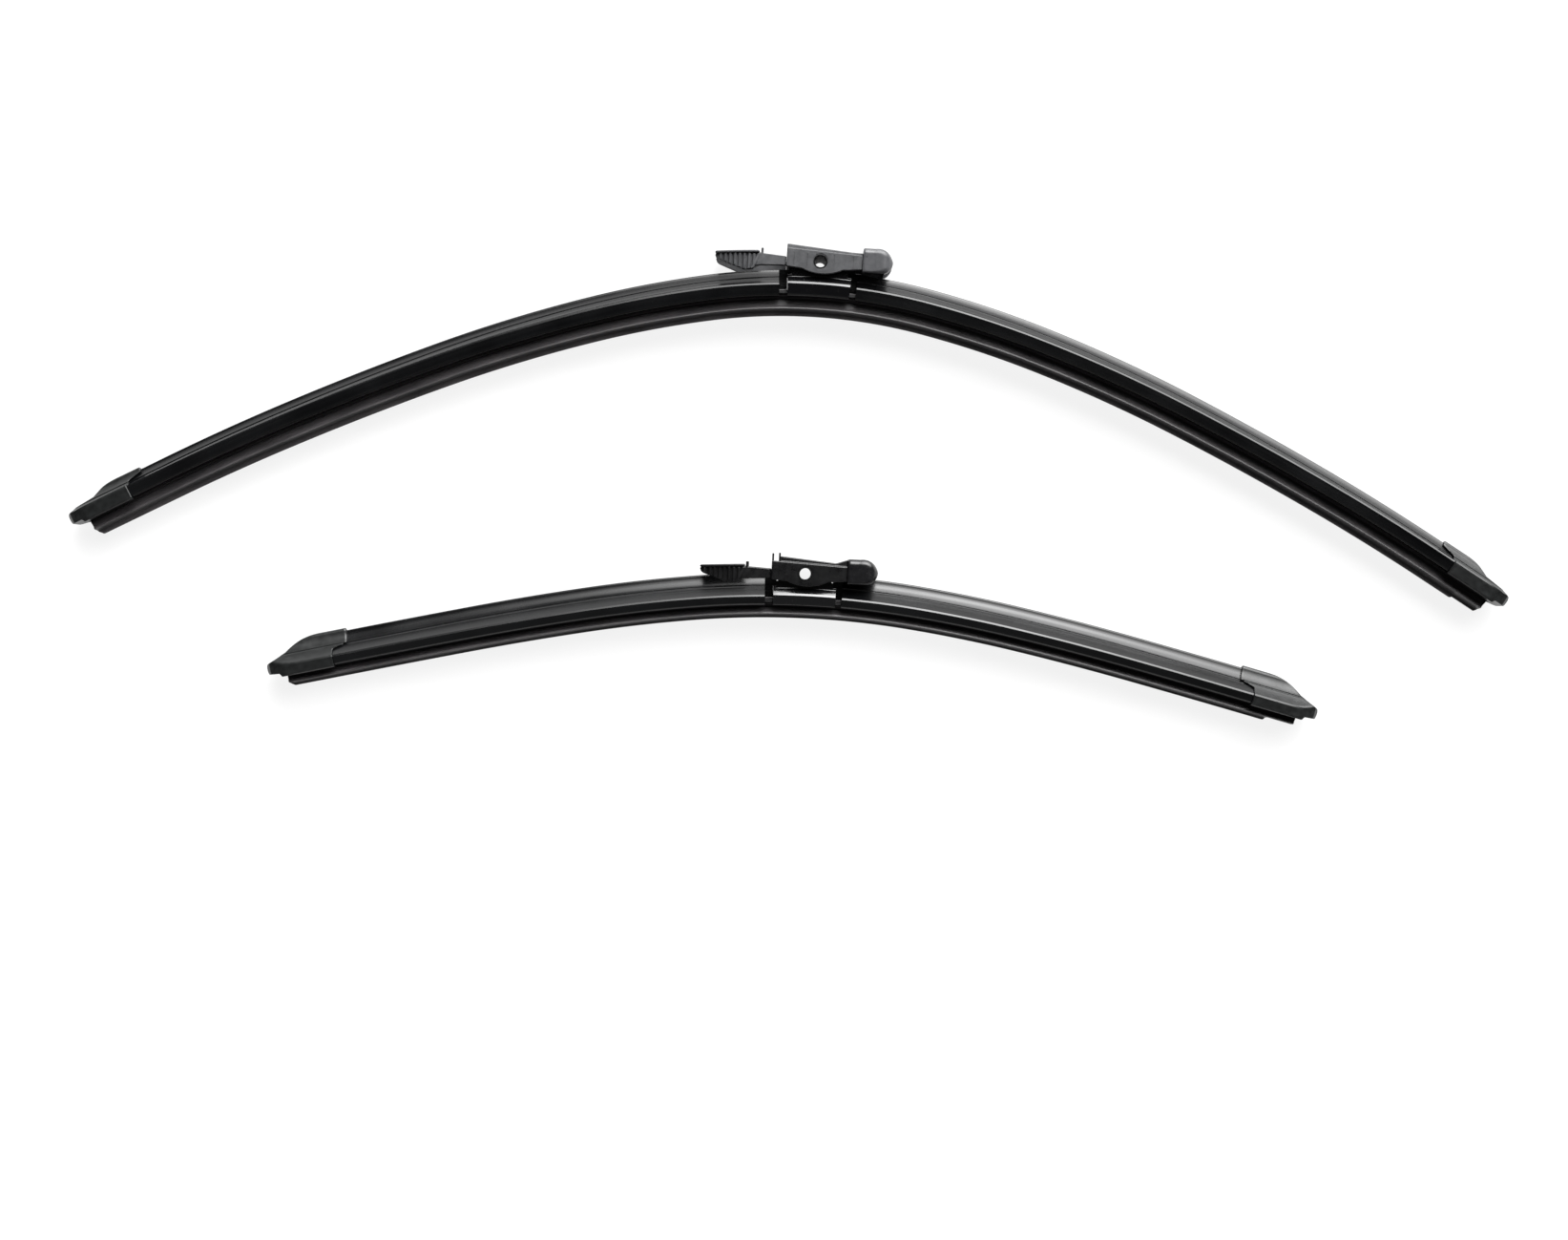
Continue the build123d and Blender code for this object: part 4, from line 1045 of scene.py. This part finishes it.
def coated_strip(name, colour):
    """Black coated spring strip, with a grain along the strip and patchy gloss."""
    m = Nodes(name, colour, 0.35)
    place = m.tree.nodes.new("ShaderNodeTexCoord").outputs["Object"]
    grain = m.noise(1.0, 3.0, (60, 4000, 900), source=place)
    stain = m.noise(45, 4.0, source=place)
    stained = tuple(c * 0.55 for c in colour)
    m.set("Base Color", m.mix_colour(m.mapped(stain, 0.35, 0.7), colour, stained))
    m.set("Roughness", m.sum(m.swing(stain, 0.36, 0.5), m.swing(grain, -0.05, 0.05)))
    m.set("Normal", m.bump(grain, 0.000006))
    return m.material


MATERIALS = {
    "spoiler_plastic": extruded_plastic("spoiler plastic", (0.0010, 0.0011, 0.0013), 0.24,
                                        (0.0024, 0.0026, 0.0030), 0.000012),
    "rubber": coated_rubber("wiping rubber", (0.034, 0.032, 0.0335), (0.058, 0.0535, 0.0555)),
    "bracket_steel": painted_steel("bracket coat", (0.003, 0.003, 0.0035), 0.14, 0.00001),
    "rivet_steel": painted_steel("rivet zinc", (0.003, 0.003, 0.0033), 0.62, 0.000005, coat=0.0,
                                 specular=0.12),
    "spring_steel": coated_strip("coated spring strip", (0.008, 0.008, 0.0085)),
}
# colour, roughness, second colour, depth and scale of the grain
MOULDED = {
    # the long blade's adapter plastic: its lighter grey is painted light, standing in for the light that its
    # adapter catches; the short blade's copy below keeps the plastic's black
    "adapter_plastic": ((0.038, 0.039, 0.042), 0.48, (0.062, 0.063, 0.067), 0.00002, 2600),
    "gloss_adapter_plastic": ((0.003, 0.003, 0.0033), 0.30, (0.0055, 0.0055, 0.0059), 0.000006, 2600),
    # the long blade's nose cap plastic: its lighter grey is painted light as well; the short blade's copy
    # below keeps the plastic's black
    "nose_plastic": ((0.058, 0.059, 0.063), 0.32, (0.078, 0.079, 0.084), 0.000004, 2600),
    "gloss_nose_plastic": ((0.006, 0.006, 0.0066), 0.22, (0.009, 0.009, 0.0097), 0.000003, 2600),
    "cap_plastic": ((0.0065, 0.007, 0.007), 0.36, (0.0115, 0.0125, 0.0125), 0.00001, 2400),
}
for key, facts in MOULDED.items():
    MATERIALS[key] = moulded_plastic(key.replace("_", " "), *facts)


# ---------------- the pair
def build_blade(blade):
    place = blade_place(blade)
    at_pivot = place @ Matrix.Translation((0, blade.pivot, 0))

    def add(shape, part, slot, where, straight=None, look=None):
        finish_piece(shape, f"{blade.name}_{part}", MATERIALS[look or slot], where, straight)

    rubber, straight = make_rubber(blade)
    add(rubber, "wiping_rubber", "rubber", place, straight)
    for side, word in ((-1, "left"), (1, "right")):
        spoiler, straight = make_spoiler(blade, side)
        add(spoiler, f"{word}_spoiler", "spoiler_plastic", place, straight)
        add(make_end_cap(blade), f"{word}_end_cap", "cap_plastic", place @ end_place(blade, side))
    add(make_bracket(blade), "centre_bracket", "bracket_steel", place)
    add(make_rivet(), "pivot_rivet", "rivet_steel", at_pivot)
    # on the long blade these plastics carry painted light: a lighter grey for the light that its adapter
    # catches
    add(make_adapter_body(blade), "adapter_body", blade.adapter_slot, at_pivot)
    add(make_nose_cap(), "nose_cap", "nose_plastic", at_pivot, look=blade.nose_look)
    add(make_front_tab(), "front_pinch_tab", blade.adapter_slot, at_pivot)
    to_rear = at_pivot @ Matrix.Scale(-1, 4, (0, 0, 1))
    add(make_front_tab(), "rear_pinch_tab", blade.adapter_slot, to_rear)
    for word in ("front", "rear"):
        rail = frame["nodes"][f"{blade.name}_{word}_spring_rail"]
        rail.data.materials.clear()
        rail.data.materials.append(MATERIALS["spring_steel"])


for blade in BLADES:
    build_blade(blade)


# ---------------- floor, light and camera
def make_floor():
    """A pale panel that glows a little, just under the blades."""
    half, drop, grey = 4, 0.0002, 0.15
    floor = solid([(-half, -half, 0), (half, -half, 0), (half, half, 0), (-half, half, 0)], [(0, 1, 2, 3)])
    floor.name = "floor"
    floor.location.z = -drop
    m = Nodes("floor panel", (grey,) * 3, 0.75)
    place = m.tree.nodes.new("ShaderNodeTexCoord").outputs["Object"]
    tone = m.mapped(m.noise(6, 2.0, source=place), 0.3, 0.7)
    m.set("Base Color", m.mix_colour(tone, (grey,) * 3, (grey + 0.01,) * 3))
    m.set("Specular IOR Level", 0.15)
    m.set("Emission Color", (1, 1, 1))
    m.set("Emission Strength", 0.86)
    floor.data.materials.append(m.material)


# azimuth and elevation of its middle, angle out to which it is full, angle past which it is gone, strength
SOFT_BOXES = ((64, 30, 20, 44, 8.0), (74, 40, 7, 17, 9.0), (250, 38, 10, 50, 0.2))
DARK_CEILING = 0.02
PLAIN_BACKGROUND = 0.92


def make_world():
    """A studio with a dark ceiling, soft boxes behind and a faint one in front, and a plain background."""
    world = bpy.data.worlds.new("studio")
    bpy.context.scene.world = world
    world.use_nodes = True
    tree = world.node_tree
    background = tree.nodes["Background"]
    background.inputs["Color"].default_value = (1, 1, 1, 1)
    direction = tree.nodes.new("ShaderNodeTexCoord").outputs["Generated"]
    light = None
    for azimuth, elevation, inner, outer, strength in SOFT_BOXES:
        a, e = math.radians(azimuth), math.radians(elevation)
        dot = tree.nodes.new("ShaderNodeVectorMath")
        dot.operation = "DOT_PRODUCT"
        feed(tree, dot.inputs[0], direction)
        dot.inputs[1].default_value = (math.cos(a) * math.cos(e), math.sin(a) * math.cos(e), math.sin(e))
        glow = range_node(tree, dot.outputs["Value"], math.cos(math.radians(outer)),
                          math.cos(math.radians(inner)), 0, strength, "SMOOTHSTEP")
        light = math_node(tree, "ADD", light, glow) if light else glow
    light = math_node(tree, "ADD", light, DARK_CEILING)
    seen = tree.nodes.new("ShaderNodeLightPath").outputs["Is Camera Ray"]
    to_plain = math_node(tree, "MULTIPLY", seen, math_node(tree, "SUBTRACT", PLAIN_BACKGROUND, light))
    feed(tree, background.inputs["Strength"], math_node(tree, "ADD", light, to_plain))


def make_camera():
    """Straight down, at the height and over the spot that frame the pair."""
    distance, view_width, sensor_width = 0.75, 0.6615, 36
    middle_x, middle_y, reference_height = -0.0018963, -0.0567487, 0.0095
    camera = bpy.data.objects.new("camera", bpy.data.cameras.new("camera"))
    bpy.context.scene.collection.objects.link(camera)
    camera.data.sensor_width = sensor_width
    camera.data.lens = sensor_width * distance / view_width
    camera.location = (middle_x, middle_y, reference_height + distance)
    bpy.context.scene.camera = camera


make_floor()
make_world()
make_camera()
bpy.context.scene.view_settings.view_transform = "Standard"

bpy.context.view_layer.update()
